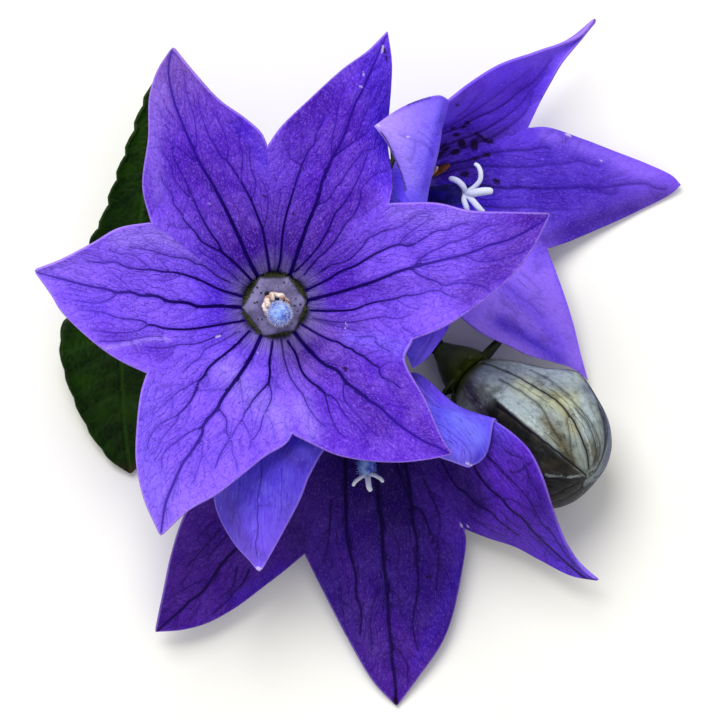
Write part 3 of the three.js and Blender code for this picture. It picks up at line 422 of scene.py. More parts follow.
# Colours of the petals and the bud by name, as they look on the screen.
PALETTE = {
    "black": (0.05, 0.01, 0.20),
    "ink": (0.11, 0.03, 0.32),
    "night": (0.19, 0.07, 0.48),
    "plum": (0.29, 0.11, 0.58),
    "violet": (0.37, 0.16, 0.80),
    "royal": (0.23, 0.09, 0.86),
    "iris": (0.41, 0.23, 1.0),
    "orchid": (0.53, 0.36, 1.0),
    "lilac": (0.59, 0.44, 1.0),
    "sky": (0.50, 0.41, 1.0),
    "mist": (0.68, 0.57, 1.0),
    "mauve": (0.50, 0.36, 0.72),
    "dusk": (0.34, 0.21, 0.58),
    "cobalt": (0.31, 0.19, 0.77),
    "azure": (0.50, 0.51, 1.0),
    "cornflower": (0.40, 0.36, 0.98),
    "ash": (0.56, 0.60, 0.58),
    "frost": (0.62, 0.68, 0.71),
    "steel": (0.48, 0.53, 0.61),
    "straw": (0.66, 0.64, 0.42),
    "cream": (0.68, 0.70, 0.57),
    "olive": (0.34, 0.31, 0.16),
    "slate": (0.26, 0.30, 0.44),
    "blush": (0.24, 0.20, 0.30),
}

# Each lobe's colours at the throat, on the blade and at the tip. They are partly the petals' own colour and
# partly painted light and shade: lobes that face the lamp get paler colours, and lobes that face away or lie
# under the main bloom, as the lower bloom's throats, get darker ones.
LOBE_TINTS = {
    "main": (
        ("violet", "orchid", "violet"),
        ("plum", "violet", "iris"),
        ("plum", "violet", "mauve"),
        ("iris", "orchid", "lilac"),
        ("orchid", "orchid", "lilac"),
        ("mauve", "violet", "violet"),
    ),
    "lower": (
        ("ink", "night", "plum"),
        ("ink", "violet", "iris"),
        ("lilac", "cornflower", "sky"),
        ("cobalt", "cobalt", "orchid"),
        ("night", "plum", "plum"),
    ),
    "upper": (
        ("royal", "cobalt", "orchid"),
        ("iris", "iris", "lilac"),
        ("iris", "sky", "mist"),
        ("iris", "iris", "sky"),
        ("night", "lilac", "lilac"),
    ),
}

# Soft patches: lobe, colour, strength, half width in pixels and the line of each. Many are painted light and
# shade: the mist, sky and lilac patches are mostly painted highlights and sheen on lobes that face the lamp,
# such as the pale upper half of the upper bloom's first lobe and the thin mist line along a fold of the main
# bloom's left lobe; the black, ink, night and plum patches are mostly painted shade where lobes face away or
# lie under the main bloom, such as the dark lower half of that same lobe and the lower bloom's patches next
# to the main bloom's lobes. The rest are the petals' own colour.
TONES_AND_PAINTED_LIGHT = {
    "main": (
        (0, "plum", 0.75, 20, ((470, 295), (512, 255), (540, 222))),
        (0, "plum", 0.45, 10, ((350, 290), (400, 285), (440, 280))),
        (0, "mist", 0.35, 9, ((395, 212), (430, 218), (470, 214))),
        (1, "royal", 0.55, 14, ((378, 75), (374, 130), (382, 178))),
        (1, "plum", 0.5, 16, ((330, 215), (365, 195))),
        (1, "night", 0.4, 9, ((296, 122), (330, 85), (365, 50))),
        (2, "royal", 0.55, 9, ((240, 125), (258, 142), (263, 162))),
        (2, "mist", 0.3, 10, ((158, 90), (152, 150), (158, 195))),
        (2, "plum", 0.5, 14, ((200, 165), (240, 225))),
        (3, "mist", 0.55, 13, ((120, 238), (165, 235), (205, 250))),
        (3, "violet", 0.7, 11, ((105, 328), (135, 350), (165, 352))),
        (3, "iris", 0.5, 14, ((60, 290), (100, 310))),
        (3, "mist", 0.75, 2.4, ((103, 349), (134, 342.3), (157, 337.7), (169, 339.5))),
        (4, "mist", 0.55, 14, ((225, 370), (258, 400), (285, 425))),
        (4, "sky", 0.45, 12, ((150, 395), (147, 450), (158, 500))),
        (5, "mist", 0.5, 10, ((300, 405), (312, 432))),
        (5, "plum", 0.7, 15, ((315, 350), (350, 378), (380, 425))),
        (5, "sky", 0.6, 8, ((350, 338), (385, 342), (402, 350))),
        (5, "plum", 0.5, 9, ((392, 375), (430, 440))),
    ),
    "lower": (
        (0, "black", 0.5, 24, ((375, 470), (392, 515))),
        (0, "plum", 0.5, 12, ((345, 560), (375, 620), (410, 640))),
        (0, "royal", 0.2, 6, ((462, 545), (448, 600), (415, 665))),
        (0, "dusk", 0.45, 16, ((355, 610), (375, 650))),
        (1, "ink", 0.85, 16, ((455, 468), (478, 505))),
        (1, "night", 0.5, 10, ((495, 440), (530, 480), (545, 510))),
        (1, "lilac", 0.35, 6, ((570, 565), (590, 578))),
        (2, "royal", 0.55, 4.5, ((494, 424), (484, 444), (475, 458))),
        (2, "iris", 0.5, 7, ((418, 378), (440, 400))),
        (2, "azure", 0.6, 9, ((455, 420), (478, 440))),
        (3, "night", 0.55, 9, ((285, 450), (300, 462))),
        (3, "dusk", 0.45, 7, ((226, 490), (240, 530), (256, 556))),
        (4, "ink", 0.5, 14, ((285, 515), (300, 540))),
        (4, "royal", 0.35, 8, ((235, 600), (280, 570))),
    ),
    "upper": (
        (0, "night", 0.7, 13, ((430, 172), (470, 165), (485, 185))),
        (0, "lilac", 0.6, 8, ((545, 135), (595, 150), (650, 175))),
        (0, "night", 0.6, 9, ((545, 240), (600, 218), (665, 196))),
        (1, "night", 0.7, 15, ((430, 150), (470, 138), (505, 140))),
        (1, "cobalt", 0.6, 12, ((480, 152), (525, 140))),
        (1, "violet", 0.5, 8, ((460, 120), (500, 100), (530, 80))),
        (1, "violet", 0.5, 8, ((450, 105), (480, 85))),
        (1, "lilac", 0.4, 8, ((530, 118), (552, 85), (580, 35))),
        (2, "royal", 0.6, 4.5, ((446, 102), (438, 130), (431, 158), (424, 186))),
        (2, "violet", 0.5, 2.5, ((394, 112), (420, 100), (440, 97))),
        (2, "mist", 0.5, 8, ((384, 125), (400, 150), (412, 180))),
        (4, "royal", 0.75, 8, ((500, 322), (530, 340), (560, 360))),
        (4, "iris", 0.5, 8, ((505, 285), (540, 318), (560, 345))),
        (4, "iris", 0.6, 3, ((552, 262), (570, 310), (588, 368))),
    ),
}

# The bud's soft patches, in the same way but without a lobe. The frost patches are mostly painted highlights
# on the facets that face up, and the slate band along the right side is painted shade where the bud turns
# away from the lamp; the others are the bud's own colours.
BUD_TONES_AND_PAINTED_LIGHT = (
    ("steel", 0.85, 13, ((474, 372), (500, 374), (525, 372))),
    ("frost", 0.8, 8, ((535, 370), (570, 374))),
    ("steel", 0.6, 8, ((540, 384), (585, 390))),
    ("cream", 0.8, 10, ((522, 386), (548, 398), (572, 400))),
    ("frost", 0.7, 8, ((502, 393), (526, 408), (545, 424))),
    ("straw", 0.55, 6, ((555, 398), (566, 414), (574, 430))),
    ("olive", 0.9, 7, ((544, 420), (560, 440), (572, 462))),
    ("frost", 0.8, 5, ((584, 400), (591, 420), (588, 436))),
    ("olive", 0.8, 5, ((588, 444), (596, 458))),
    ("slate", 1.0, 8, ((590, 381), (606, 410), (612, 445), (604, 474), (585, 500))),
    ("blush", 1.0, 13, ((466, 385), (475, 402), (490, 416))),
    ("frost", 0.6, 4, ((492, 398), (503, 402), (515, 409))),
)

# Dark stains, and pale flecks that are partly painted glints, on the petals: half width in pixels and the
# line of each.
STAINS = {
    "main": (
        (0.8, ((293, 213), (294, 214))),
        (1.0, ((344, 368), (346, 370))),
        (0.9, ((264, 196), (265, 197))),
        (1.1, ((383, 48), (385, 52))),
        (0.9, ((386, 57), (387, 60))),
    ),
    "lower": (
        (1.5, ((427, 577), (429, 577))),
        (1.8, ((395, 699), (396, 703))),
        (0.6, ((423, 396), (431, 403))),
        (0.7, ((430, 404), (440, 410))),
        (0.6, ((436, 417), (439, 420))),
        (0.6, ((447, 432), (450, 436))),
        (0.6, ((448, 440), (452, 443))),
        (0.5, ((455, 418), (462, 424))),
        (0.5, ((464, 430), (469, 436))),
        (0.7, ((241, 482), (242, 485))),
    ),
    "upper": (
        (3.5, ((461, 142.5), (462.5, 145))),
        (3.3, ((474, 141.5), (474, 147))),
        (3.0, ((453.5, 152.5), (456.5, 151.5))),
        (1.8, ((484.5, 155.3), (488, 154.7))),
        (1.7, ((466, 122), (468.5, 123.5))),
        (1.8, ((464, 127), (466, 126.5))),
        (1.6, ((451.5, 128.5), (454, 128))),
        (2.2, ((455, 134.5), (457.5, 135))),
        (2.3, ((463, 174.5), (466.5, 173.8))),
        (2.2, ((496, 180.8), (497.5, 181.8))),
        (1.3, ((476, 133), (479, 136), (485, 140), (490, 142.3))),
        (2.0, ((490.5, 142.6), (493, 143))),
        (1.3, ((474.5, 158.5), (476.5, 158.5))),
        (2.2, ((435, 158), (441, 154), (447, 148.5))),
        (1.1, ((457, 104), (458, 106))),
        (1.2, ((440, 149), (445, 144))),
        (0.5, ((381, 132), (387, 141), (392.5, 152), (397.5, 164), (402, 176), (405.5, 190))),
        (0.5, ((407, 105), (418, 101), (430, 97.5))),
    ),
}

FLECKS_AND_GLINTS = {
    "main": (
        (0.8, ((216, 337), (220, 336))),
        (0.5, ((258, 352), (258, 354))),
        (0.6, ((208, 203), (210, 204))),
        (0.5, ((165, 242), (166, 243))),
        (0.5, ((346, 323), (347, 326), (345, 329))),
        (1.0, ((383, 46), (382, 52))),
        (0.7, ((360, 86), (362, 88))),
        (0.6, ((363, 72), (364, 76))),
    ),
    "lower": (
        (1.4, ((460, 525), (462, 527))),
        (1.2, ((467, 525), (468, 527))),
        (0.9, ((466, 461.5), (470, 464))),
        (1.2, ((259, 567), (261, 569))),
    ),
    "upper": (
        (1.2, ((566, 134), (570, 136))),
        (0.6, ((600, 160), (602, 161))),
        (0.8, ((377, 124), (379, 126))),
        (0.7, ((407, 137), (409, 137))),
    ),
}

# Shares of the fine net, of the pale bloom with its painted highlights on the crinkles, of the painted shade
# in the creases, of the pale margin, partly a painted highlight along the rims, and of the seam glow, and
# the veins' look.
LOOKS = {
    "main": {"net": 0.85, "light": 0.85, "crease_shade": 0.6, "margin": 0.4, "seam": 0.45,
             "vein": 1.0, "thin": 0.42, "dark": 1.0, "far": 0.6, "soft": 0.07},
    "lower": {"net": 1.1, "light": 0.3, "crease_shade": 0.4, "margin": 0.3, "seam": 0.08,
              "vein": 0.8, "thin": 0.35, "dark": 0.6, "far": 0.0, "soft": 0.14},
    "upper": {"net": 0.35, "light": 0.5, "crease_shade": 0.2, "margin": 0.2, "seam": 0.1,
              "vein": 0.7, "thin": 0.2, "dark": 0.8, "far": 0.6, "soft": 0.16},
}

BUD = {
    "base": (14.0, -2.2, 4.9),
    "apex": (28.7, -15.2, 12.2),
    "profile": ((0, 2.9), (0.05, 3.7), (0.14, 4.8), (0.28, 6.1), (0.44, 7.2), (0.58, 7.9), (0.7, 8.15),
                (0.82, 7.5), (0.91, 6.0), (0.965, 4.0), (0.99, 2.0), (1.0, 0.05)),
    "ridges": 5,
    "ridge_rise": 0.075,
    "shoulder": {"turn": -72, "spread": 30, "along": 0.53, "reach": 0.13, "rise": 1.35},
}

# Lines and flakes on the bud: half width in pixels at the start and the end, and the line.
BUD_VEINS = (
    (1.0, 1.0, ((497, 406), (505, 411), (513, 417), (520, 423), (528, 429), (536, 435), (545, 442),
     (555, 450), (565, 458), (575, 466), (587, 476))),
    (0.6, 1.0, ((482, 363), (490, 365), (500, 369), (510, 373), (520, 378), (530, 384), (540, 390),
     (550, 396), (557, 401), (563, 407), (568, 414), (573, 420), (578, 430), (582, 440), (586, 450),
     (588, 460), (589, 470))),
    (0.8, 0.7, ((540, 475), (547, 478), (560, 479.5), (572, 479.5), (585, 478))),
    (0.5, 0.4, ((500, 380), (510, 385), (520, 391), (529, 397), (537, 403), (543, 410), (547, 418),
     (551, 426), (555, 432), (560, 440))),
    (0.4, 0.3, ((567, 418), (568, 425), (569, 430), (570, 440), (571, 450), (574, 462))),
    (0.4, 0.6, ((575, 408), (583, 417), (590, 428), (594, 440), (596, 452), (592, 466))),
    (0.3, 0.5, ((552, 384), (566, 395), (580, 409), (590, 421), (598, 437), (600, 452), (593, 468))),
    (0.6, 0.9, ((598, 405), (603, 420), (605, 437), (603, 455), (597, 468), (590, 477))),
    (0.4, 0.8, ((548, 497), (560, 492), (570, 486), (580, 481), (587, 478))),
    (0.5, 0.8, ((557, 503), (570, 496), (580, 487), (588, 479))),
    (0.4, 0.7, ((575, 503), (582, 495), (587, 487), (590, 480))),
    (0.4, 0.7, ((592, 492), (592, 486), (590, 480))),
    (0.3, 0.4, ((530, 370), (548, 379), (562, 389), (572, 398))),
)

BUD_LIGHTS = (
    (0.9, 0.7, ((500, 403), (512, 411), (523, 419), (534, 428), (543, 435))),
    (0.9, 0.8, ((545, 475.5), (560, 476.8), (572, 476.8), (583, 475.5))),
    (1.0, 1.2, ((574, 410), (580, 421), (586, 436), (590, 450), (591, 464))),
    (0.8, 0.8, ((530, 417), (538, 425), (548, 433))),
    (0.8, 0.8, ((478, 361), (500, 362), (520, 365), (545, 371))),
)

LEAVES = (
    {
        "name": "leaf_upper",
        "rib": ((-28.6, 9.9, 1.9), (-27.8, 15.0, 4.2), (-26.4, 26.0, 6.2), (-25.0, 35.6, 6.4)),
        "left": ((-29.3, 10.0, 2.2), (-31.6, 11.6, 3.8), (-33.6, 14.5, 5.0), (-32.2, 17.4, 5.6),
                 (-30.9, 21.0, 6.3), (-29.4, 25.2, 6.8), (-28.2, 28.4, 7.0), (-26.6, 32.8, 6.8)),
        "right": ((-27.9, 10.0, 2.2), (-24.6, 11.4, 3.8), (-21.8, 14.5, 5.4), (-20.2, 20.0, 6.4),
                  (-20.8, 26.0, 7.0), (-22.8, 32.0, 6.9)),
        "teeth": 9,
        "bite": 1.0,
    },
    {
        "name": "leaf_lower",
        "rib": ((-29.4, 6.1, 1.9), (-29.8, 0.0, 3.3), (-29.4, -8.0, 2.4), (-28.7, -14.2, 1.1)),
        "left": ((-28.7, 6.0, 2.2), (-25.6, 4.8, 3.6), (-22.6, 2.2, 4.4), (-21.6, -2.6, 4.6),
                 (-24.0, -9.0, 3.4)),
        "right": ((-30.1, 6.0, 2.2), (-34.0, 6.4, 3.8), (-36.9, 4.8, 4.4), (-37.4, 1.2, 4.6),
                  (-36.2, -3.6, 4.2), (-33.6, -9.2, 3.0), (-31.0, -12.6, 1.9)),
        "teeth": 8,
        "bite": 0.55,
    },
)

BACK_TINT = (0.40, 0.37, 0.98)
BACK_SHARE = 0.25
TONE_STEPS = 24

# How far in millimetres a mark may miss its place and still lie on a lobe.
MARK_MISS = 0.25

# Traced veins that start in the open are led down to the ring, where they are wide and low enough.
LEAD_BELOW = 0.55
LEAD_WIDTH = 0.8
LEAD_START = 0.01
LEAD_POINTS = 60
FOOT_SHARE = 0.86
FAINT_SHARE = 0.5
NEAREST_SAMPLES = 8

# Branch veins: the way between them along a vein, their length, their lean and how near they come to others.
BRANCH_SPACING = (1.3, 2.6)
BRANCH_LENGTH = (1.6, 5.0)
BRANCH_LEAN = (0.6, 1.05)
BRANCH_STEP = 0.35
BRANCH_PULL = 0.12
BRANCH_WANDER = 0.08
BRANCH_CLEARANCE = 0.5
BRANCH_START_FREE = 0.9
BRANCH_HALF_WIDTH = (0.028, 0.05)
BRANCH_ALONG = (0.02, 0.975)
BRANCH_ACROSS = 0.95
BRANCH_TAPER = (1.1, 0.7)
SHORTEST_BRANCH = 6
STREAK_SIDE = 0.94
STREAK_SPACING = 0.17
STREAK_REACH = (0.08, 0.2)
STREAK_POINTS = 12
STREAK_START = 0.004
STREAK_WANDER = 0.04
STREAK_TAPER = (1.3, 0.4)
PLAIN_POINTS = 60
PLAIN_TAPER = 0.6

# A leaf's teeth as bites into its margin, and its side veins.
TOOTH_BITES = (0.2, 0.08, -0.24)
SIDE_VEIN_SPACING = 2.6
SIDE_VEIN_SLOPE = 0.75
SIDE_VEIN_OFFSET = 0.25

GAP = 0.2
BLOOM_CUP = {"height": 7.4, "radius": 4.5, "top": -0.75}
CALYCES = {
    "main": {**BLOOM_CUP, "turn": 30, "reaches": (4.6,) * 6, "droop": 0.6},
    "lower": {**BLOOM_CUP, "turn": 90, "reaches": (2.6, 2.6, 2.6, 2.6, 0.9), "droop": 2.8},
    "upper": {**BLOOM_CUP, "turn": 60, "reaches": (3.6,) * 5, "droop": 1.6},
    "bud": {"height": 5.6, "radius": 3.3, "top": -GAP, "turn": 0, "reaches": (4.4, 1.6, 1.6, 1.6, 1.6),
            "droop": -0.5},
}
JOINT = (14.2, -1.2, 7.6)
CUP_OUTLINE = ((0.42, 0.86), (0.68, 0.62), (0.9, 0.34), (1, 0.12), (0.97, 0))
PEDICEL_RADIUS = 1.05
SEPAL = {"root": 0.8, "sink": 0.35, "half_width": 0.36, "fold": 0.3, "taper": 1.6, "thickness": 0.5}

DISC_FOOT = -0.55
DISC_OUTLINE = ((0, DISC_FOOT), (2.7, DISC_FOOT), (3.6, DISC_FOOT + 0.4), (4.12, 0.25), (4.0, 0.7),
                (2.4, 1.0), (1.7, 1.1), (0, 1.15))
DISC_RADIUS = 4.12
HOLE = (-11.6, 8.25, 16.7)
STYLE_FOOT = 1.35
CLUB_OUTLINE = ((0, STYLE_FOOT), (0.75, STYLE_FOOT), (0.7, 4), (0.85, 6.5), (1.25, 8.2), (1.4, 9.4),
                (1.22, 10.5), (0.65, 11.1), (0, 11.3))

# Hairs: where they stand, how they lean, how long they are and their half width.
HAIR_SPREAD = 0.25
FRINGE = {"sink": 0.08, "low": 0.2, "high": 0.65, "share": 0.935, "lean": (0.0, 0.5), "reach": (0.2, 0.7)}
CLUB_HAIR = {"low": 8.0, "high": 11.2, "outward": (0.6, 1), "lean": (-0.2, 0.9), "reach": (0.2, 0.45)}
CLUB_ROOTS = ((8.2, 9.4, 10.5, 11.1, 11.3), (1.25, 1.45, 1.25, 0.65, 0.1))
SHAFT_HAIR = {"low": 0.45, "high": 0.98, "lean": (-0.3, 0.6), "reach": (0.15, 0.3)}
SHAFT_ROOTS = ((0.4, 0.7, 0.95, 1.0), (0.75, 1, 0.95, 0.5))
COARSE_HAIR = 0.035
FINE_HAIR = 0.03
FRINGE_SEED = 3
CLUB_SEED = 5

# Points closer than this, in metres, are welded.
WELD = 1e-7
SEAM_WELD = 0.004 * MM

# The shares along a lobe at which its throat gives way to its blade, and its blade to its tip.
BLADE_FROM = (0.12, 0.42)
TIP_FROM = (0.62, 0.98)

# Beside a fused seam the lobes' colours meet, and a pale glow lies over it before the notch.
SEAM_SHARE = 0.5
SEAM_SIDE = (0.35, 1.0)
SEAM_END = 0.1
GLOW_MIDDLE = NOTCH_SHARE * 0.85
GLOW_REACH = 0.14
GLOW_SIDE = (0.3, 1.0)
MARGIN_STEPS = 160

# The grid on which lines are searched for on the bud, and the ridges that the photograph doesn't show.
BUD_SEARCH = (480, 320)
BUD_LINE_STEP = 0.5
BUD_FLAT_RADIUS = 7
HIDDEN_RIDGE = {"along": (0.08, 0.995), "rows": 60, "half": 0.09}

# A direction that no tube starts in.
TUBE_ACROSS = (0.3, 0.5, 0.81)
HAIR_TIP = 0.25
ARM_SINK = 0.3
TABLE_SHADE = 0.99

# An open style's arms: half width in pixels and points as pixels with a rise above the style's end.
OPEN_STYLES = {
    "lower": {
        "length": 11.2,
        "radius": 1.15,
        "arms": (
            (2.0, ((367, 473, 0.0), (361, 477, 0.8), (355, 482, 0.9), (353, 486, 0.5))),
            (2.8, ((367, 473, 0.0), (368, 480, 0.9), (369, 487, 1.0), (371, 491, 0.6))),
            (2.0, ((367, 473, 0.0), (374, 475, 0.7), (381, 479, 0.8), (383, 482, 0.4))),
        ),
    },
    "upper": {
        "length": 8.0,
        "radius": 1.25,
        "arms": (
            (3.0, ((464, 193, 0.0), (464, 188, 0.9), (459, 182, 1.3), (453, 179, 1.2), (449, 178.5, 0.9))),
            (2.4, ((466, 192, 0.0), (474, 187, 0.6), (480, 180, 1.1), (480.5, 172, 1.3), (478, 166, 1.2),
                   (474, 163.5, 1.0))),
            (4.0, ((465, 193, 0.0), (473, 193, 0.9), (482, 191.5, 1.3), (489, 191, 1.2), (493, 191.5, 1.0))),
            (2.8, ((464, 195, 0.0), (464, 200, 0.6), (466, 206, 0.8), (468, 212, 0.4))),
            (3.1, ((466, 195, 0.0), (472, 200, 0.7), (478, 207, 0.9), (484, 213, 0.5))),
        ),
    },
}
SHAFT_OUTLINE = ((0, 0.13), (0.75, 0.14), (0.75, 0.4), (1, 0.7), (0.95, 0.95), (0.5, 1), (0, 1))
STIGMA_ARM_SHARES = (0.8, 0.9, 1.0, 1.0, 0.8)

# Withered stamens: their count and turn, and how far out and up each bends in millimetres.
OPEN_BEND = ((1.5, 1.7), (2.1, 2.4), (3.04, 3.4), (3.8, 4.0))
STAMENS = {
    "main": {"count": 8, "turn": 20, "bend": ((1.1, 1.7), (1.45, 2.6), (1.3, 3.5), (1.65, 4.1))},
    "lower": {"count": 5, "turn": 54, "bend": OPEN_BEND},
    "upper": {"count": 5, "turn": 54, "bend": OPEN_BEND},
}
STAMEN_RADII = (0.26, 0.4, 0.36, 0.24)
STAMEN_WANDER = 0.2
STAMEN_SWELL = (0.6, 1.1)
COLLAR_OUTLINE = ((1.05, 1.4), (1.7, 1.4), (1.7, 2.1), (1.05, 2.1), (1.05, 1.4))

# Stamens that face this way are pale, as the photograph shows them.
PALE_SIDE = (-0.7, 0.7, 0)
PALE_FROM = 0.1

# The anther that lies on the upper bloom's petals, in pixels, with its radii in millimetres.
FALLEN_ANTHER = ((431, 176.5), (436.5, 172.5), (442.5, 168.8), (448, 165.4), (453.5, 162))
FALLEN_RADII = (0.2, 0.36, 0.42, 0.44, 0.38, 0.2)

# How deep a turned body is rippled, the count of its ripples and their turn in radians.
RIPPLES = {"cup": (0.012, 10, 0), "shaft": (0.05, 5, 0), "collar": (0.05, 9, 3)}

# Sides round and rows along each grid that is formed.
GRIDS = {"bud": (220, 170), "cup": (80, 60), "sepal": (12, 24), "disc": (120, 44), "club": (48, 70),
         "shaft": (40, 60), "arm": (20, 44), "collar": (40, 24), "stamen": (16, 30), "anther": (16, 40)}
LEAF_COLUMNS = 40
LEAF_ROWS_PER_STEP = 6
CORNER_POINTS = 8

CAMERA_HEIGHT = 1.0
CAMERA_LENS = 400.0
CAMERA_SENSOR = 36.0
FARTHEST_SEEN = 10.0


def plan(points):
    """Points in the solids' frame from points as they look in plan."""
    points = np.asarray(points, float)
    drawn_in = 1 - points[..., 2:3] / EYE_HEIGHT
    return np.concatenate([points[..., :2] * drawn_in - PLAN_CENTRE, points[..., 2:3]], axis=-1)


def seen_from_above(points):
    """The places in plan at which points of the solids' frame are seen."""
    drawn_in = 1 - points[..., 2:3] / EYE_HEIGHT
    return (points[..., :2] + PLAN_CENTRE) / drawn_in


def on_table(pixels):
    """Places in plan of the photograph's pixels."""
    return (np.asarray(pixels, float) - PHOTO_MIDDLE) / PIXELS_PER_MM * (1, -1)


def smoothstep(low, high, values):
    share = np.clip((values - low) / (high - low), 0, 1)
    return share * share * (3 - 2 * share)


def unit(vectors):
    vectors = np.asarray(vectors, float)
    return vectors / np.maximum(np.linalg.norm(vectors, axis=-1, keepdims=True), 1e-9)


def spanned(left, middle, right, across):
    """Points from a left edge at -1 over the middle at 0 to a right edge at 1."""
    square = across * across
    return middle * (1 - square) + left * (square - across) / 2 + right * (square + across) / 2


def slopes(surface, along, across):
    """A surface's points and how they move with the shares along and across."""
    here = surface(along, across)
    by_along = (surface(along + NUDGE, across) - here) / NUDGE
    by_across = (surface(along, across + NUDGE) - here) / NUDGE
    return here, by_along, by_across


def tree_of(points):
    tree = KDTree(len(points))
    for number, point in enumerate(points):
        tree.insert(point, number)
    tree.balance()
    return tree


class Line:
    """A line through points, read by the share of its length."""

    def __init__(self, points):
        self.points = np.asarray(points, float)
        steps = np.linalg.norm(np.diff(self.points, axis=0), axis=1)
        self.reach = np.concatenate([[0.0], np.cumsum(steps)])
        self.length = self.reach[-1]

    def at(self, shares):
        wanted = np.asarray(shares, float) * self.length
        return np.stack([np.interp(wanted, self.reach, column) for column in self.points.T], axis=-1)

    def evenly(self, count):
        return self.at(np.linspace(0, 1, count))


def smooth_line(points):
    """A centripetal spline through the points."""
    points = np.asarray(points, float)
    padded = np.concatenate([[2 * points[0] - points[1]], points, [2 * points[-1] - points[-2]]])
    t = np.linspace(0, 1, LINE_STEPS, endpoint=False)[:, None]
    pieces = []
    for a, b, c, d in zip(padded, padded[1:], padded[2:], padded[3:]):
        first, middle, last = (np.linalg.norm(end - start) ** 0.5 for start, end in ((a, b), (b, c), (c, d)))
        leave = middle * ((b - a) / first - (c - a) / (first + middle) + (c - b) / middle)
        arrive = middle * ((c - b) / middle - (d - b) / (middle + last) + (d - c) / last)
        cubic = (2 * (b - c) + leave + arrive) * t ** 3
        pieces.append(b + leave * t + (3 * (c - b) - 2 * leave - arrive) * t ** 2 + cubic)
    return Line(np.concatenate([*pieces, points[-1:]]))


def arc_line(start, middle, end):
    """The bent line from start to end that a middle point draws aside."""
    t = np.linspace(0, 1, 5 * LINE_STEPS)[:, None]
    start, middle, end = (np.asarray(point, float) for point in (start, middle, end))
    return Line(start * (1 - t) ** 2 + 2 * middle * t * (1 - t) + end * t * t)


def smooth_profile(outline):
    """A turned outline with its corners rounded off a little."""
    points = np.asarray(outline, float)
    halves = (points[1:] + points[:-1]) / 2
    pieces = [arc_line(*corner).evenly(CORNER_POINTS) for corner in zip(halves, points[1:-1], halves[1:])]
    return Line(np.concatenate([points[:1], *pieces, points[-1:]]))


class Axes:
    """A body's own frame: w along its axis, u and v across it."""

    def __init__(self, base, axis, across):
        self.w = unit(axis)
        self.v = unit(np.cross(self.w, across))
        self.u = np.cross(self.v, self.w)
        self.origin = plan(base)

    def placed(self, points):
        x, y, z = (np.asarray(points, float)[..., way, None] for way in range(3))
        return self.origin + x * self.u + y * self.v + z * self.w

    def polar(self, angle, radius, height):
        """Points by their angle round the axis, their distance from it and their height along it."""
        return self.placed(np.stack([radius * np.cos(angle), radius * np.sin(angle), height], axis=-1))

    def outward(self, angle):
        return self.u * math.cos(angle) + self.v * math.sin(angle)


def axes_of(bloom, shift=(0, 0, 0), lean=(0, 0, 0)):
    return Axes(np.add(bloom["base"], shift), np.add(bloom["axis"], lean), bloom["across"])


def bud_axes():
    axes = Axes(BUD["base"], plan(BUD["apex"]) - plan(BUD["base"]), (1, 0, 0))
    axes.v = unit(np.array([0.0, 0.0, 1.0]) - axes.w * axes.w[2])
    axes.u = np.cross(axes.v, axes.w)
    return axes


def ring_start(axes, degrees):
    """Where a line leaves the ring of petals, and a point further out in its first direction."""
    angle = math.radians(degrees)
    outward = axes.outward(angle)
    start = axes.origin + outward * RING_RADIUS
    rise = outward * math.cos(FLARE_ANGLE) + axes.w * math.sin(FLARE_ANGLE)
    return start, start + rise * FLARE_LENGTH


def seam_line(bloom, index):
    """The seam between a lobe and the next, from the ring up to their notch."""
    lobes = bloom["lobes"]
    first, second = (lobes[number % len(lobes)]["angle"] for number in (index, index + 1))
    start, flared = ring_start(axes_of(bloom), first + ((second - first + 720) % 360) / 2)
    notch = plan(bloom["notches"][index])
    wall = bloom["walls"].get(index)
    if wall:
        return smooth_line(np.vstack([start, plan(wall), notch]))
    return arc_line(start, flared, notch)


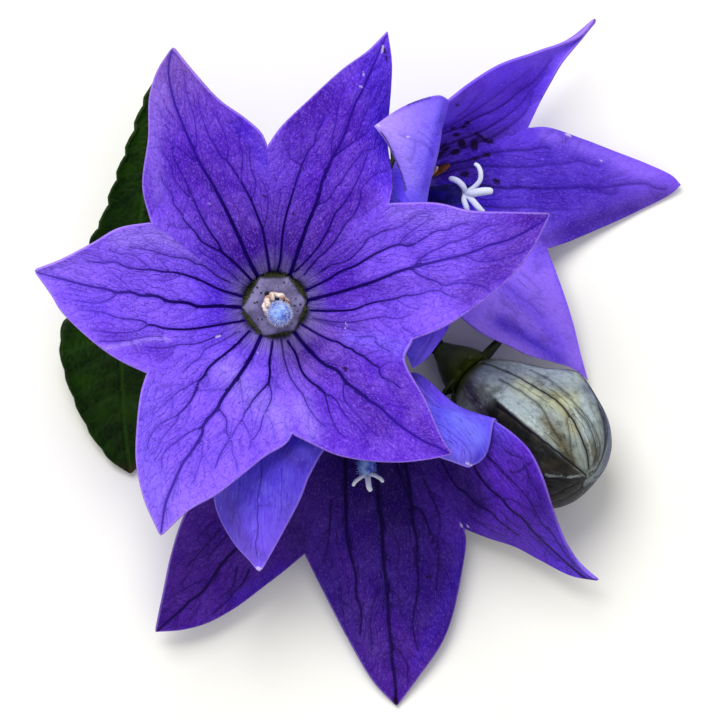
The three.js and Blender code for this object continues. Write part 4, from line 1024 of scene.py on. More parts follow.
class Lobe:
    """One lobe of a corolla as a smooth sheet: along from the ring to the tip, across from -1 to 1."""

    def __init__(self, bloom, index):
        lobe = bloom["lobes"][index]
        before = (index - 1) % len(bloom["lobes"])
        start, flared = ring_start(axes_of(bloom), lobe["angle"])
        lead = start + (flared - start) * RIB_LEAD
        self.rib = smooth_line(np.vstack([start, lead, plan(lobe["rib"]), plan(lobe["tip"])]))
        self.seams = [seam_line(bloom, before), seam_line(bloom, index)]
        self.margins = [
            smooth_line(plan([bloom["notches"][notch], *lobe[side], lobe["tip"]]))
            for notch, side in ((before, "before"), (index, "after"))
        ]
        rows, columns = np.linspace(0.005, 0.995, KNOWN_ROWS), np.linspace(-1, 1, KNOWN_COLUMNS)
        self.known_along, self.known_across = (grid.ravel() for grid in np.meshgrid(rows, columns))
        self.known_points = self.points(self.known_along, self.known_across)
        self.known_seen = seen_from_above(self.known_points)

    def points(self, along, across):
        along = np.asarray(along, float)
        across = np.asarray(across, float)[..., None]
        fused = np.minimum(along / NOTCH_SHARE, 1)
        free = np.maximum((along - NOTCH_SHARE) / (1 - NOTCH_SHARE), 0)
        left, right = (
            np.where(free[..., None] > 0, margin.at(free), seam.at(fused))
            for seam, margin in zip(self.seams, self.margins)
        )
        return spanned(left, self.rib.at(along), right, across)

    def seen(self, along, across):
        return seen_from_above(self.points(along, across))

    def flat(self, along, across):
        """Places on the lobe as if it were pressed flat, in millimetres."""
        left, middle, right = (self.points(along, np.full_like(along, side)) for side in (-1, 0, 1))
        widths = [np.linalg.norm(edge - middle, axis=-1) for edge in (left, right)]
        return np.stack([across * np.where(across < 0, *widths), along * self.rib.length], axis=-1)

    def locate(self, seen):
        """Shares along and across of the upper sheet's points that are seen at these places in plan."""
        gaps = np.linalg.norm(self.known_seen[None] - seen[:, None], axis=-1)
        best = np.argmin(gaps - HEIGHT_LEAD * self.known_points[None, :, 2], axis=1)
        along, across = self.known_along[best], self.known_across[best]
        for _ in range(SEARCH_STEPS):
            here, by_along, by_across = slopes(self.seen, along, across)
            miss = seen - here
            turn = by_along[:, 0] * by_across[:, 1] - by_along[:, 1] * by_across[:, 0]
            safe = np.where(np.abs(turn) > 1e-3, turn, np.inf)
            step_along = (miss[:, 0] * by_across[:, 1] - miss[:, 1] * by_across[:, 0]) / safe
            step_across = (miss[:, 1] * by_along[:, 0] - miss[:, 0] * by_along[:, 1]) / safe
            most_along, most_across = LONGEST_STEP
            along = np.clip(along + np.clip(step_along, -most_along, most_along), 0.002, 0.998)
            across = np.clip(across + np.clip(step_across, -most_across, most_across), -1, 1)
        return along, across


def lobes_of(bloom):
    return [Lobe(bloom, number) for number in range(len(bloom["lobes"]))]


class VeinNet:
    """Lines on a surface as chains of points with half widths."""

    def __init__(self):
        self.chains = []

    def add(self, lobe, along, across, half_widths):
        """A line by its places on a lobe."""
        self.lay(lobe.points(along, across), half_widths)
        self.chains[-1].update(lobe=lobe, along=along, across=across)

    def lay(self, points, half_widths):
        self.chains.append({"points": points, "half": half_widths, "lobe": None})

    def near(self, points):
        """For each point the step to the nearest line, that line's half width and its distance."""
        samples = np.concatenate([chain["points"] for chain in self.chains])
        halves = np.concatenate([chain["half"] for chain in self.chains])
        follows = np.concatenate([
            np.append(np.ones(len(chain["points"]) - 1, bool), False) for chain in self.chains
        ])
        tree = tree_of(samples)
        found = np.array([
            [number for _, number, _ in tree.find_n(point, NEAREST_SAMPLES)] for point in points
        ])
        starts = np.concatenate([found, np.maximum(found - 1, 0)], axis=1)
        ends = np.where(follows[starts], starts + 1, starts)
        first = samples[starts]
        way = samples[ends] - first
        square = np.maximum((way ** 2).sum(-1), 1e-12)
        share = np.clip(((points[:, None] - first) * way).sum(-1) / square, 0, 1)
        step = first + way * share[..., None] - points[:, None]
        half = halves[starts] * (1 - share) + halves[ends] * share
        distance = np.linalg.norm(step, axis=-1)
        best = np.argmin(distance - half, axis=1)
        rows = np.arange(len(points))
        return step[rows, best], half[rows, best], distance[rows, best]


def traced_veins(net, bloom, lobes):
    """Adds the veins that the photograph shows, laid on the lobes they are seen on."""
    for number, foot, end, pixels in VEINS[bloom["name"]]:
        route = smooth_line(on_table(pixels))
        count = max(int(route.length / BRANCH_STEP), 4)
        along, across = lobes[number].locate(route.evenly(count))
        half = np.linspace(foot * FOOT_SHARE, end, count) / PIXELS_PER_MM
        if number in bloom["faint"]:
            half = half * FAINT_SHARE
        if number in bloom["led_down"] and along[0] < LEAD_BELOW and foot > LEAD_WIDTH:
            points = max(int(along[0] * LEAD_POINTS), 3)
            lead = np.linspace(LEAD_START, along[0], points, endpoint=False)
            along = np.concatenate([lead, along])
            across = np.concatenate([np.full(len(lead), across[0]), across])
            half = np.concatenate([np.full(len(lead), half[0]), half])
        net.add(lobes[number], along, across, half)


def laid_on(lobes, pixels):
    """Points along a line of pixels, on the highest lobe it can be seen on."""
    route = Line(on_table(pixels)).evenly(4 * len(pixels))
    laid = [lobe.points(*lobe.locate(route)) for lobe in lobes]
    misses = np.array([np.abs(seen_from_above(points) - route).max() for points in laid])
    close = misses < max(misses.min(), MARK_MISS) + 1e-6
    heights = np.array([points[:, 2].mean() for points in laid])
    return laid[int(np.argmax(np.where(close, heights, -np.inf)))]


def marks(lobes, lines):
    """Small marks that the photograph shows."""
    net = VeinNet()
    for half, pixels in lines:
        points = laid_on(lobes, pixels)
        net.lay(points, np.full(len(points), half / PIXELS_PER_MM))
    return net


def plain_veins(net, lobe):
    """Adds a fan of veins to a lobe that the photograph doesn't show."""
    for foot, end, reach, half in PLAIN_VEINS:
        along = np.linspace(LEAD_START, reach, PLAIN_POINTS)
        share = along / reach
        net.add(lobe, along, foot + (end - foot) * share, half * (1 - PLAIN_TAPER * share))


def ring_streaks(net, lobe, random):
    """Adds the short fine streaks that leave the ring between the larger veins."""
    for across in np.arange(-STREAK_SIDE, STREAK_SIDE, STREAK_SPACING):
        along = np.linspace(STREAK_START, random.uniform(*STREAK_REACH), STREAK_POINTS)
        half = random.uniform(*BRANCH_HALF_WIDTH) * np.linspace(*STREAK_TAPER, STREAK_POINTS)
        aside = across + random.uniform(-STREAK_WANDER, STREAK_WANDER)
        net.add(lobe, along, np.full(STREAK_POINTS, aside), half)


def branch_path(lobe, taken, start, heading, lean, length, random):
    """The places along and across of a branch, until it meets an edge or another vein."""
    along, across = start
    places = [(along, across)]
    travelled = 0.0
    while travelled < length:
        _, by_along, by_across = slopes(lobe.points, along, across)
        outward = np.cross(by_along, by_across)
        if np.linalg.norm(outward) < 1e-6:
            break
        if travelled == 0:
            heading = heading * math.cos(lean) + np.cross(unit(outward), heading) * math.sin(lean)
        heading = unit(heading + BRANCH_PULL * unit(by_along) + BRANCH_WANDER * random.normal(size=3))
        ways = np.stack([by_along, by_across], axis=1)
        moves = np.linalg.lstsq(ways, heading * BRANCH_STEP, rcond=None)[0]
        along += float(moves[0])
        across += float(moves[1])
        travelled += BRANCH_STEP
        if not BRANCH_ALONG[0] < along < BRANCH_ALONG[1] or abs(across) > BRANCH_ACROSS:
            break
        places.append((along, across))
        gap = np.linalg.norm(taken - lobe.points(along, across), axis=1).min()
        if travelled > BRANCH_START_FREE and gap < BRANCH_CLEARANCE:
            break
    return np.array(places)


def branch_veins(net, lobe, random):
    """Lets thin veins leave the lobe's main veins at a lean and bend towards its tip."""
    parents = [chain for chain in net.chains if chain["lobe"] is lobe]
    taken = np.concatenate([chain["points"] for chain in parents])
    for chain in parents:
        line = Line(chain["points"])
        reach = random.uniform(*BRANCH_SPACING)
        side = 1 if random.random() < 0.5 else -1
        while reach < line.length - BRANCH_SPACING[0]:
            share = reach / line.length
            start = [float(np.interp(reach, line.reach, chain[way])) for way in ("along", "across")]
            lean = side * random.uniform(*BRANCH_LEAN)
            length = random.uniform(*BRANCH_LENGTH)
            half = random.uniform(*BRANCH_HALF_WIDTH)
            heading = unit(line.at(min(share + 0.01, 1)) - line.at(share))
            path = branch_path(lobe, taken, start, heading, lean, length, random)
            if len(path) >= SHORTEST_BRANCH:
                net.add(lobe, path[:, 0], path[:, 1], half * np.linspace(*BRANCH_TAPER, len(path)))
                taken = np.concatenate([taken, net.chains[-1]["points"][2:]])
            reach += random.uniform(*BRANCH_SPACING)
            side = -side


class Term:
    """A socket of a node tree. Sums on it add the Math nodes."""

    def __init__(self, coat, socket):
        self.coat = coat
        self.socket = socket

    def _sum(self, operation, first, second):
        return self.coat.node("ShaderNodeMath", {"operation": operation}, {0: first, 1: second})

    def __add__(self, other):
        return self._sum("ADD", self, other)

    __radd__ = __add__

    def __sub__(self, other):
        return self._sum("SUBTRACT", self, other)

    def __rsub__(self, other):
        return self._sum("SUBTRACT", other, self)

    def __mul__(self, other):
        return self._sum("MULTIPLY", self, other)

    __rmul__ = __mul__


def rgba(colour):
    """A colour from the screen's values from 0 to 1, as the shaders read it."""
    lit = [c / 12.92 if c <= 0.04045 else ((c + 0.055) / 1.055) ** 2.4 for c in colour[:3]]
    return (*lit, 1.0)


class Coat:
    """The node tree of one material. A colour may be named after one of its settings."""

    def __init__(self, name, settings, roughness, specular, sheen=0.0):
        self.settings = settings
        self.material = bpy.data.materials.new(name)
        self.material.use_nodes = True
        self.tree = self.material.node_tree
        self.shader = self.tree.nodes["Principled BSDF"]
        constants = {"Roughness": roughness, "Specular IOR Level": specular, "Sheen Weight": sheen}
        for socket, value in constants.items():
            self.shader.inputs[socket].default_value = value
        self.place = self.node("ShaderNodeTexCoord", {}, {}, "Object")

    def node(self, kind, settings, values, output=0):
        node = self.tree.nodes.new(kind)
        for setting, value in settings.items():
            setattr(node, setting, value)
        for socket, value in values.items():
            if isinstance(value, Term):
                self.tree.links.new(value.socket, node.inputs[socket])
            else:
                node.inputs[socket].default_value = value
        return Term(self, node.outputs[output])

    def feed(self, socket, term):
        self.tree.links.new(term.socket, self.shader.inputs[socket])

    def attribute(self, name, output="Vector"):
        return self.node("ShaderNodeAttribute", {"attribute_name": name}, {}, output)

    def parts(self, name):
        """The three numbers of a vector attribute."""
        split = self.node("ShaderNodeSeparateXYZ", {}, {0: self.attribute(name)}).socket.node
        return [Term(self, socket) for socket in split.outputs]

    def length(self, vector):
        return self.node("ShaderNodeVectorMath", {"operation": "LENGTH"}, {0: vector}, "Value")

    def moved(self, vector, offset, amount):
        """The vector shifted by a share of another vector."""
        scaled = self.node("ShaderNodeVectorMath", {"operation": "SCALE"}, {0: offset, "Scale": amount})
        return self.node("ShaderNodeVectorMath", {"operation": "ADD"}, {0: vector, 1: scaled})

    def bent(self, flat, across, along, drift, amount):
        """Flat places scaled across and along, and bent by a drift."""
        values = {"Vector": flat, "Scale": (across, along, 1.0)}
        return self.moved(self.node("ShaderNodeMapping", {}, values), drift, amount)

    def away_from(self, point):
        """The distance in metres from a point given in plan."""
        return self.length(self.moved(self.place, Vector(plan(point) * MM), -1.0))

    def noise(self, vector, scale, detail, roughness, output="Fac"):
        values = {"Vector": vector, "Scale": scale, "Detail": detail, "Roughness": roughness}
        return self.node("ShaderNodeTexNoise", {}, values, output)

    def cells(self, vector, scale, feature="DISTANCE_TO_EDGE", dimensions="2D"):
        settings = {"feature": feature, "voronoi_dimensions": dimensions}
        return self.node("ShaderNodeTexVoronoi", settings, {"Vector": vector, "Scale": scale}, "Distance")

    def ramp(self, value, low, high, start=0.0, end=1.0):
        """Start at low and end at high, with a smooth change between them."""
        values = {"Value": value, "From Min": low, "From Max": high, "To Min": start, "To Max": end}
        return self.node("ShaderNodeMapRange", {"interpolation_type": "SMOOTHSTEP"}, values)

    def colour(self, value):
        if isinstance(value, str):
            value = getattr(self.settings, value)
        return value if isinstance(value, Term) else rgba(value)

    def blend(self, share, first, second):
        """Two colours mixed by a share from 0 to 1."""
        values = {0: share, 6: self.colour(first), 7: self.colour(second)}
        return self.node("ShaderNodeMix", {"data_type": "RGBA", "blend_type": "MIX"}, values, 2)

    def laid(self, base, colour, value, low, high, amount=1.0):
        """A colour laid over a base, by nothing at low up to its full amount at high."""
        return self.blend(self.ramp(value, low, high, 0.0, amount), base, colour)

    def finished(self, colour, height, depth, strength, grain, smooth, matt):
        """The material with its colour, its relief in millimetres and its roughness by a grain."""
        relief = {"Height": height, "Distance": depth * MM, "Strength": strength}
        self.feed("Base Color", colour)
        self.feed("Normal", self.node("ShaderNodeBump", {}, relief))
        self.feed("Roughness", self.ramp(grain, 0.3, 0.7, smooth, matt))
        return self.material


def new_piece(name, bm, materials, slot, node):
    """Makes a bmesh the piece that stands for a CAD node, with its materials in order."""
    mesh = bpy.data.meshes.new(name)
    bm.to_mesh(mesh)
    bm.free()
    for material in materials:
        mesh.materials.append(material)
    mesh.shade_smooth()
    piece = bpy.data.objects.new(name, mesh)
    bpy.context.scene.collection.objects.link(piece)
    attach(piece, "root")
    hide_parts(node)
    return piece


def give_wall(piece, thickness):
    """Thickens a sheet downward, with its second material on the under side."""
    wall = piece.modifiers.new("wall", "SOLIDIFY")
    wall.thickness = thickness
    wall.offset = -1.0
    wall.use_quality_normals = True
    wall.material_offset = 1
    wall.material_offset_rim = 0


def formed_grid(bm, size, form):
    """A grid whose points a formula places, in millimetres, by their shares across and along."""
    columns, rows = size
    verts = bmesh.ops.create_grid(bm, x_segments=columns, y_segments=rows, size=1.0)["verts"]
    shares = (np.array([vert.co[:2] for vert in verts]) + 1) / 2
    points = form(shares[:, 0], shares[:, 1]) * MM
    for vert, point in zip(verts, points):
        vert.co = point
    return verts, shares


def closed_up(bm):
    """Closes seams and poles and turns the faces outward."""
    bmesh.ops.remove_doubles(bm, verts=bm.verts, dist=WELD)
    bmesh.ops.dissolve_degenerate(bm, edges=bm.edges, dist=WELD)
    bmesh.ops.recalc_face_normals(bm, faces=bm.faces)


def join(bm, other):
    """Adds the faces of another bmesh, which is used up."""
    extra = bpy.data.meshes.new("extra")
    other.to_mesh(extra)
    other.free()
    bm.from_mesh(extra)
    bpy.data.meshes.remove(extra)


def faces_from(bm, first, slot):
    """Gives the faces from a first one on another of the piece's materials."""
    bm.faces.ensure_lookup_table()
    for face in bm.faces[first:]:
        face.material_index = slot


def vertex_values(mesh, name):
    values = np.empty(len(mesh.vertices) * 3, np.float32)
    mesh.attributes[name].data.foreach_get("vector", values)
    return values.reshape(-1, 3).astype(float)


def write_vectors(mesh, name, *columns):
    layer = mesh.attributes.new(name, "FLOAT_VECTOR", "POINT")
    layer.data.foreach_set("vector", np.stack(columns, axis=1).astype(np.float32).ravel())


def write_colours(mesh, name, colours):
    layer = mesh.attributes.new(name, "FLOAT_COLOR", "POINT")
    solid = np.concatenate([colours, np.ones((len(colours), 1))], axis=1)
    layer.data.foreach_set("color", solid.astype(np.float32).ravel())


def rippled(name):
    """How a turned body's radius changes with the angle round it."""
    depth, count, turn = RIPPLES[name]
    return lambda angle: 1 + depth * np.cos(count * angle + turn)


def turned_body(bm, axes, outline, size, ripple=None):
    """A body turned from an outline of radii and heights about the axes."""
    line = smooth_profile(outline)

    def form(around, along):
        profile = line.at(along)
        angle = 2 * np.pi * around
        radius = profile[:, 0] if ripple is None else profile[:, 0] * ripple(angle)
        return axes.polar(angle, radius, profile[:, 1])

    return formed_grid(bm, size, form)


def tube(bm, points, radii, size):
    """A round tube along a smooth line, closed by rounded ends."""
    line = smooth_line(points)
    steps = size[1]
    shares = np.linspace(0, 1, steps + 1)
    centres = line.at(shares)
    tangents = unit(np.gradient(centres, axis=0))
    side = unit(np.cross(tangents[0], TUBE_ACROSS))
    sides = []
    for tangent in tangents:
        side = unit(side - tangent * np.dot(side, tangent))
        sides.append(side)
    sides = np.array(sides)
    ups = np.cross(tangents, sides)
    widths = np.interp(shares, np.linspace(0, 1, len(radii)), radii)
    end_share = np.minimum(shares, 1 - shares) * line.length / np.maximum(widths, 1e-6)
    widths = widths * np.sqrt(np.clip(1 - (1 - np.clip(end_share, 0, 1)) ** 2, 0, 1))

    def form(around, along):
        number = np.rint(along * steps).astype(int)
        angle = 2 * np.pi * around[:, None]
        out = sides[number] * np.cos(angle) + ups[number] * np.sin(angle)
        return centres[number] + out * widths[number][:, None]

    return formed_grid(bm, size, form)


def add_hair(bm, axes, random, place, kind, half_width):
    """One tapered, three sided hair. Its place is an angle, a radius and a height."""
    outward = axes.outward(place[0]) * (random.uniform(*kind["outward"]) if "outward" in kind else 1)
    heading = unit(outward + axes.w * random.uniform(*kind["lean"]) + random.normal(size=3) * HAIR_SPREAD)
    length = random.uniform(*kind["reach"])
    middle = Matrix.Translation((axes.polar(*place) + heading * length / 2) * MM)
    turn = Vector(heading).to_track_quat("Z", "Y").to_matrix().to_4x4()
    bmesh.ops.create_cone(bm, segments=3, radius1=half_width * MM, radius2=half_width * MM * HAIR_TIP,
                          depth=length * MM, cap_ends=False, matrix=middle @ turn)


def petal_veins(coat):
    """How far the nearest vein's edge is, its half width and where it is close enough to be drawn."""
    half, reach, _ = coat.parts("vein_size")
    beside = coat.length(coat.attribute("vein_step")) - half
    return beside, half, coat.ramp(reach, 0.65, 0.4)


def petal_face(settings, bloom_name):
    """The petals' upper side: dark veins, a net of fine veins and a quilted, finely wrinkled surface, with
    painted highlights on the crinkles and painted shade in the creases.
    """
    coat = Coat("petal_face_" + bloom_name, settings, settings.roughness, 0.05)
    looks = LOOKS[bloom_name]
    beside, half, close = petal_veins(coat)
    margin, ring, across = coat.parts("edge_reach")
    stain, fleck, _ = coat.parts("mark_reach")
    tint = coat.attribute("tint", "Color")
    flat = coat.node("ShaderNodeUVMap", {"uv_map": "flat"}, {})
    line = coat.ramp(beside, looks["soft"], -0.05) * close
    shade = coat.ramp(beside, 0.5, 0.0) * close
    weight = coat.ramp(half, 0.025, 0.13, looks["thin"], looks["vein"])
    near = [value * looks["dark"] for value in settings.vein]
    thin = [value * looks["dark"] for value in settings.vein_thin]
    far = coat.blend(0.25, "vein_far", tint)
    vein = coat.laid(near, far, ring, 7.0, 22.0, looks["far"])

    drift = coat.noise(flat, 0.9, 2.0, 0.5, "Color")
    edge = coat.cells(coat.bent(flat, 0.95, 0.5, drift, 0.7), 1.0)
    fine_edge = coat.cells(coat.bent(flat, 2.6, 1.3, drift, 1.6), 1.0)
    crinkle = coat.noise(coat.bent(flat, 5.0, 3.0, drift, 2.4), 1.0, 3.0, 0.62)
    mottle = coat.noise(coat.place, 260.0, 5.0, 0.65)
    grain = coat.noise(coat.place, 3000.0, 2.0, 0.6)

    tint = coat.laid(tint, "bloom_light", mottle, 0.38, 0.72, 0.3 * looks["light"])
    tint = coat.laid(tint, "deep", mottle, 0.48, 0.3, 0.35)
    # Painted highlights on the tops of the crinkles.
    tint = coat.laid(tint, "bloom_light", crinkle, 0.5, 0.7, 0.6 * looks["light"])
    # Painted shade in the creases between the crinkles.
    tint = coat.laid(tint, "deep", crinkle, 0.46, 0.28, looks["crease_shade"])
    tint = coat.laid(tint, thin, edge, 0.09, 0.02, 0.32 * looks["net"])
    tint = coat.laid(tint, thin, fine_edge, 0.25, 0.02, 0.14 * looks["net"])
    tint = coat.laid(tint, "heart", ring, 4.0, 0.3, 0.8)
    fringe = coat.ramp(ring, 1.1, 0.1, 0.0, 0.95) * coat.ramp(across, 0.3, 0.75)
    tint = coat.blend(fringe, tint, "fringe")
    tint = coat.blend(shade * weight * 0.4, tint, thin)
    tint = coat.blend(line * weight, tint, vein)
    # The pale margin is partly the petals' paler edge and partly a painted highlight along the rims.
    tint = coat.laid(tint, "margin", margin, 0.17, 0.02, looks["margin"])
    ragged = (crinkle - 0.5) * 0.35
    tint = coat.laid(tint, "stain", stain + ragged, 0.26, -0.1, 0.87)
    # Pale flecks, partly painted glints.
    tint = coat.laid(tint, "fleck", fleck + ragged, 0.12, -0.06, 0.6)

    pillows = (coat.ramp(edge, 0.0, 0.35) * 0.5 + coat.ramp(fine_edge, 0.0, 0.35) * 0.3) * looks["net"]
    swell = coat.ramp(beside, 0.0, 0.6)
    height = pillows + swell * 0.8 + crinkle * 0.75 + grain * 0.15 + mottle * 0.5
    smooth, matt = settings.roughness - 0.06, settings.roughness + 0.1
    return coat.finished(tint, height, 0.11, settings.relief, mottle, smooth, matt)


def petal_back(settings, bloom_name):
    """The petals' outer side: paler and bluer, with long fine streaks beside the veins."""
    coat = Coat("petal_back_" + bloom_name, settings, settings.roughness + 0.05, 0.08)
    beside, half, close = petal_veins(coat)
    margin, _, _ = coat.parts("edge_reach")
    stain, fleck, _ = coat.parts("mark_reach")
    tint = coat.attribute("back_tint", "Color")
    flat = coat.node("ShaderNodeUVMap", {"uv_map": "flat"}, {})
    line = coat.ramp(beside + half * 0.3, 0.06, -0.03) * close
    weight = coat.ramp(half, 0.02, 0.14, 0.3, 0.95)
    drift = coat.noise(flat, 0.9, 2.0, 0.5, "Color")
    streak = coat.noise(coat.bent(flat, 3.6, 0.5, drift, 0.9), 1.3, 5.0, 0.7)
    mottle = coat.noise(coat.place, 420.0, 5.0, 0.65)
    grain = coat.noise(coat.place, 3000.0, 2.0, 0.6)

    tint = coat.laid(tint, "vein_thin", streak, 0.48, 0.7, 0.5)
    tint = coat.laid(tint, "back_light", streak, 0.46, 0.3, 0.4)
    tint = coat.laid(tint, "back_light", mottle, 0.4, 0.75, 0.2)
    # The pale margin is partly the petals' paler edge and partly a painted highlight along the rims.
    tint = coat.laid(tint, "margin", margin, 0.4, 0.03, 0.4)
    tint = coat.blend(line * weight * 0.8, tint, "vein")
    ragged = (streak - 0.5) * 0.4
    tint = coat.laid(tint, "vein", stain + ragged, 0.1, -0.06, 0.5)
    # Pale flecks, partly painted glints.
    tint = coat.laid(tint, "fleck", fleck + ragged, 0.14, -0.06, 0.7)
    height = coat.ramp(beside, 0.3, 0.0) * 0.6 + streak * 0.9 + mottle * 0.5 + grain * 0.15
    matt = settings.roughness + 0.15
    return coat.finished(tint, height, 0.11, settings.relief, mottle, settings.roughness, matt)


def named_colour(name):
    return np.array(rgba(PALETTE[name])[:3])


def toned(tints, seen, tones):
    """Tints with soft patches of other colours where they are seen in the photograph, many of them painted
    highlights and painted shade.
    """
    for name, strength, half, pixels in tones:
        line = Line(on_table(pixels)).evenly(TONE_STEPS)
        gap = np.linalg.norm(seen[:, None] - line[None], axis=-1).min(axis=1) * PIXELS_PER_MM / half
        share = strength * np.exp(-gap ** 2)[:, None]
        tints = tints * (1 - share) + named_colour(name) * share
    return tints


def lobe_tints(bloom_name, lobe_number, along, across, seen, back_share):
    """Colours over the lobes, partly painted light and shade, blended into the neighbour's beside a fused
    seam, with their soft patches.
    """
    tints = np.array([[named_colour(name) for name in names] for names in LOBE_TINTS[bloom_name]])
    tints = tints * (1 - back_share) + np.array(rgba(BACK_TINT)[:3]) * back_share
    first = smoothstep(*BLADE_FROM, along)[:, None]
    last = smoothstep(*TIP_FROM, along)[:, None]

    def over(number):
        throat, blade, tip = (tints[number % len(tints), kind] for kind in range(3))
        return (throat * (1 - first) + blade * first) * (1 - last) + tip * last

    beside = over(lobe_number + np.where(across < 0, -1, 1))
    fused = 1 - smoothstep(NOTCH_SHARE, NOTCH_SHARE + SEAM_END, along)
    share = (SEAM_SHARE * smoothstep(*SEAM_SIDE, np.abs(across)) * fused)[:, None]
    mixed = over(lobe_number) * (1 - share) + beside * share
    glow = np.exp(-((along - GLOW_MIDDLE) / GLOW_REACH) ** 2) * smoothstep(*GLOW_SIDE, np.abs(across))
    glow = (glow * LOOKS[bloom_name]["seam"])[:, None]
    mixed = mixed * (1 - glow) + named_colour("orchid") * glow
    for number in range(len(tints)):
        mine = lobe_number == number
        tones = [tone[1:] for tone in TONES_AND_PAINTED_LIGHT[bloom_name] if tone[0] == number]
        mixed[mine] = toned(mixed[mine], seen[mine], tones)
    return mixed


def margin_reach(lobes, lobe_number, points):
    """Distances from points to the free margins of their own lobe."""
    reach = np.empty(len(points))
    for number, lobe in enumerate(lobes):
        mine = lobe_number == number
        line = np.concatenate([margin.evenly(MARGIN_STEPS) for margin in lobe.margins])
        reach[mine] = np.linalg.norm(points[mine][:, None] - line[None], axis=-1).min(axis=1)
    return reach


def corolla_sheet(bloom, lobes):
    """A corolla's lobes as one sheet of faces that are joined along their fused seams."""
    bm = bmesh.new()
    place_layer = bm.verts.layers.float_vector.new("place")
    flat_layer = bm.loops.layers.uv.new("flat")
    for number, lobe in enumerate(lobes):
        def form(across_share, along):
            return lobe.points(along, 1 - 2 * across_share)

        verts, shares = formed_grid(bm, (bloom["columns"], bloom["rows"]), form)
        along = shares[:, 1]
        across = 1 - 2 * shares[:, 0]
        flats = dict(zip(verts, lobe.flat(along, across)))
        for vert, high, wide in zip(verts, along, across):
            vert[place_layer] = (number, high, wide)
        for face in {face for vert in verts for face in vert.link_faces}:
            for loop in face.loops:
                loop[flat_layer].uv = flats[loop.vert]
    bmesh.ops.remove_doubles(bm, verts=bm.verts, dist=SEAM_WELD)
    return bm


def corolla_veins(bloom, lobes):
    random = np.random.default_rng(bloom["seed"])
    net = VeinNet()
    traced_veins(net, bloom, lobes)
    for number in bloom["plain"]:
        plain_veins(net, lobes[number])
    for lobe in lobes:
        branch_veins(net, lobe, random)
        if bloom is MAIN_BLOOM:
            ring_streaks(net, lobe, random)
    return net


def build_corolla(bloom, settings):
    name = bloom["name"]
    lobes = lobes_of(bloom)
    net = corolla_veins(bloom, lobes)
    materials = [petal_face(settings, name), petal_back(settings, name)]
    sheet = corolla_sheet(bloom, lobes)
    piece = new_piece("petals_" + name, sheet, materials, "petals_" + name, "corolla_" + name)
    mesh = piece.data
    points = vertex_values(mesh, "position") / MM
    lobe_number, along, across = vertex_values(mesh, "place").T
    lobe_number = np.rint(lobe_number).astype(int)

    step, half, distance = net.near(points)
    ring = along * np.array([lobe.rib.length for lobe in lobes])[lobe_number]
    margin = margin_reach(lobes, lobe_number, points)
    _, stain_half, stain_reach = marks(lobes, STAINS[name]).near(points)
    _, fleck_half, fleck_reach = marks(lobes, FLECKS_AND_GLINTS[name]).near(points)
    write_vectors(mesh, "vein_step", *step.T)
    write_vectors(mesh, "vein_size", half, distance, 0 * half)
    write_vectors(mesh, "edge_reach", margin, ring, np.abs(across))
    write_vectors(mesh, "mark_reach", stain_reach - stain_half, fleck_reach - fleck_half, 0 * half)
    for layer, share in (("tint", 0.0), ("back_tint", BACK_SHARE)):
        tints = lobe_tints(name, lobe_number, along, across, seen_from_above(points), share)
        write_colours(mesh, layer, tints)
    mesh.attributes.remove(mesh.attributes["place"])
    give_wall(piece, settings.thickness)


def bud_finish(settings):
    """Pale streaked skin with brown patches, white flakes and dark seams, painted highlights on its pale
    patches and painted shade over its under side.
    """
    coat = Coat("bud_skin", settings, 0.5, 0.1)
    turn, along, _ = coat.parts("bud_place")
    line_half, light_half, _ = coat.parts("line_size")
    flat = coat.attribute("bud_flat")
    mottle = coat.noise(coat.place, 420.0, 5.0, 0.65)
    grain = coat.noise(coat.place, 2600.0, 3.0, 0.6)
    drift = coat.noise(flat, 0.7, 2.0, 0.5, "Color")
    streak = coat.noise(coat.bent(flat, 1.5, 0.7, drift, 0.6), 1.3, 5.0, 0.65)
    cloud = coat.noise(coat.moved(flat, drift, 0.5), 0.32, 3.0, 0.6)

    # Pale patches along the streaks, partly painted highlights.
    tint = coat.laid(coat.attribute("tint", "Color"), "skin_light", streak, 0.42, 0.72, 0.22)
    tint = coat.laid(tint, "brown", streak, 0.44, 0.3, 0.4)
    tint = coat.laid(tint, "skin_dark", mottle, 0.54, 0.3, 0.6)
    tint = coat.laid(tint, "skin_dark", grain, 0.56, 0.75, 0.35)
    # Painted shade over the bud's under side; pale streaks and brown clouds are laid over it.
    under = coat.ramp(turn, -0.02, 0.04) * coat.ramp(along, 0.22, 0.36) * coat.ramp(turn, 1.9, 2.8, 1.0, 0.4)
    pale = coat.ramp(streak, 0.46, 0.7, 0.0, 0.35) * coat.ramp(along, 0.6, 0.9)
    tint = coat.blend(under * 0.97, tint, "skin_dark")
    tint = coat.blend(pale * under, tint, "skin")
    tint = coat.blend(under * coat.ramp(cloud, 0.45, 0.65, 0.0, 0.3), tint, "brown")
    tint = coat.laid(tint, "foot", along, 0.09, 0.02, 0.9)

    flakes = coat.length(coat.attribute("light_step")) - light_half
    tint = coat.laid(tint, "flake", flakes + (mottle - 0.42) * 1.6 + (grain - 0.5) * 0.8, 0.3, -0.15, 0.42)
    beside = coat.length(coat.attribute("line_step")) - line_half
    tint = coat.laid(tint, "skin_dark", beside, 0.35, 0.0, 0.4)
    line = coat.ramp(beside, 0.06, -0.05) * coat.ramp(line_half, 0.03, 0.1, 0.5, 0.95)
    tint = coat.blend(line, tint, "seam")
    height = coat.ramp(beside, 0.0, 0.4) + streak * 0.5 + mottle * 0.6 + grain * 0.3
    return coat.finished(tint, height, 0.12, 0.8, grain, 0.42, 0.6)


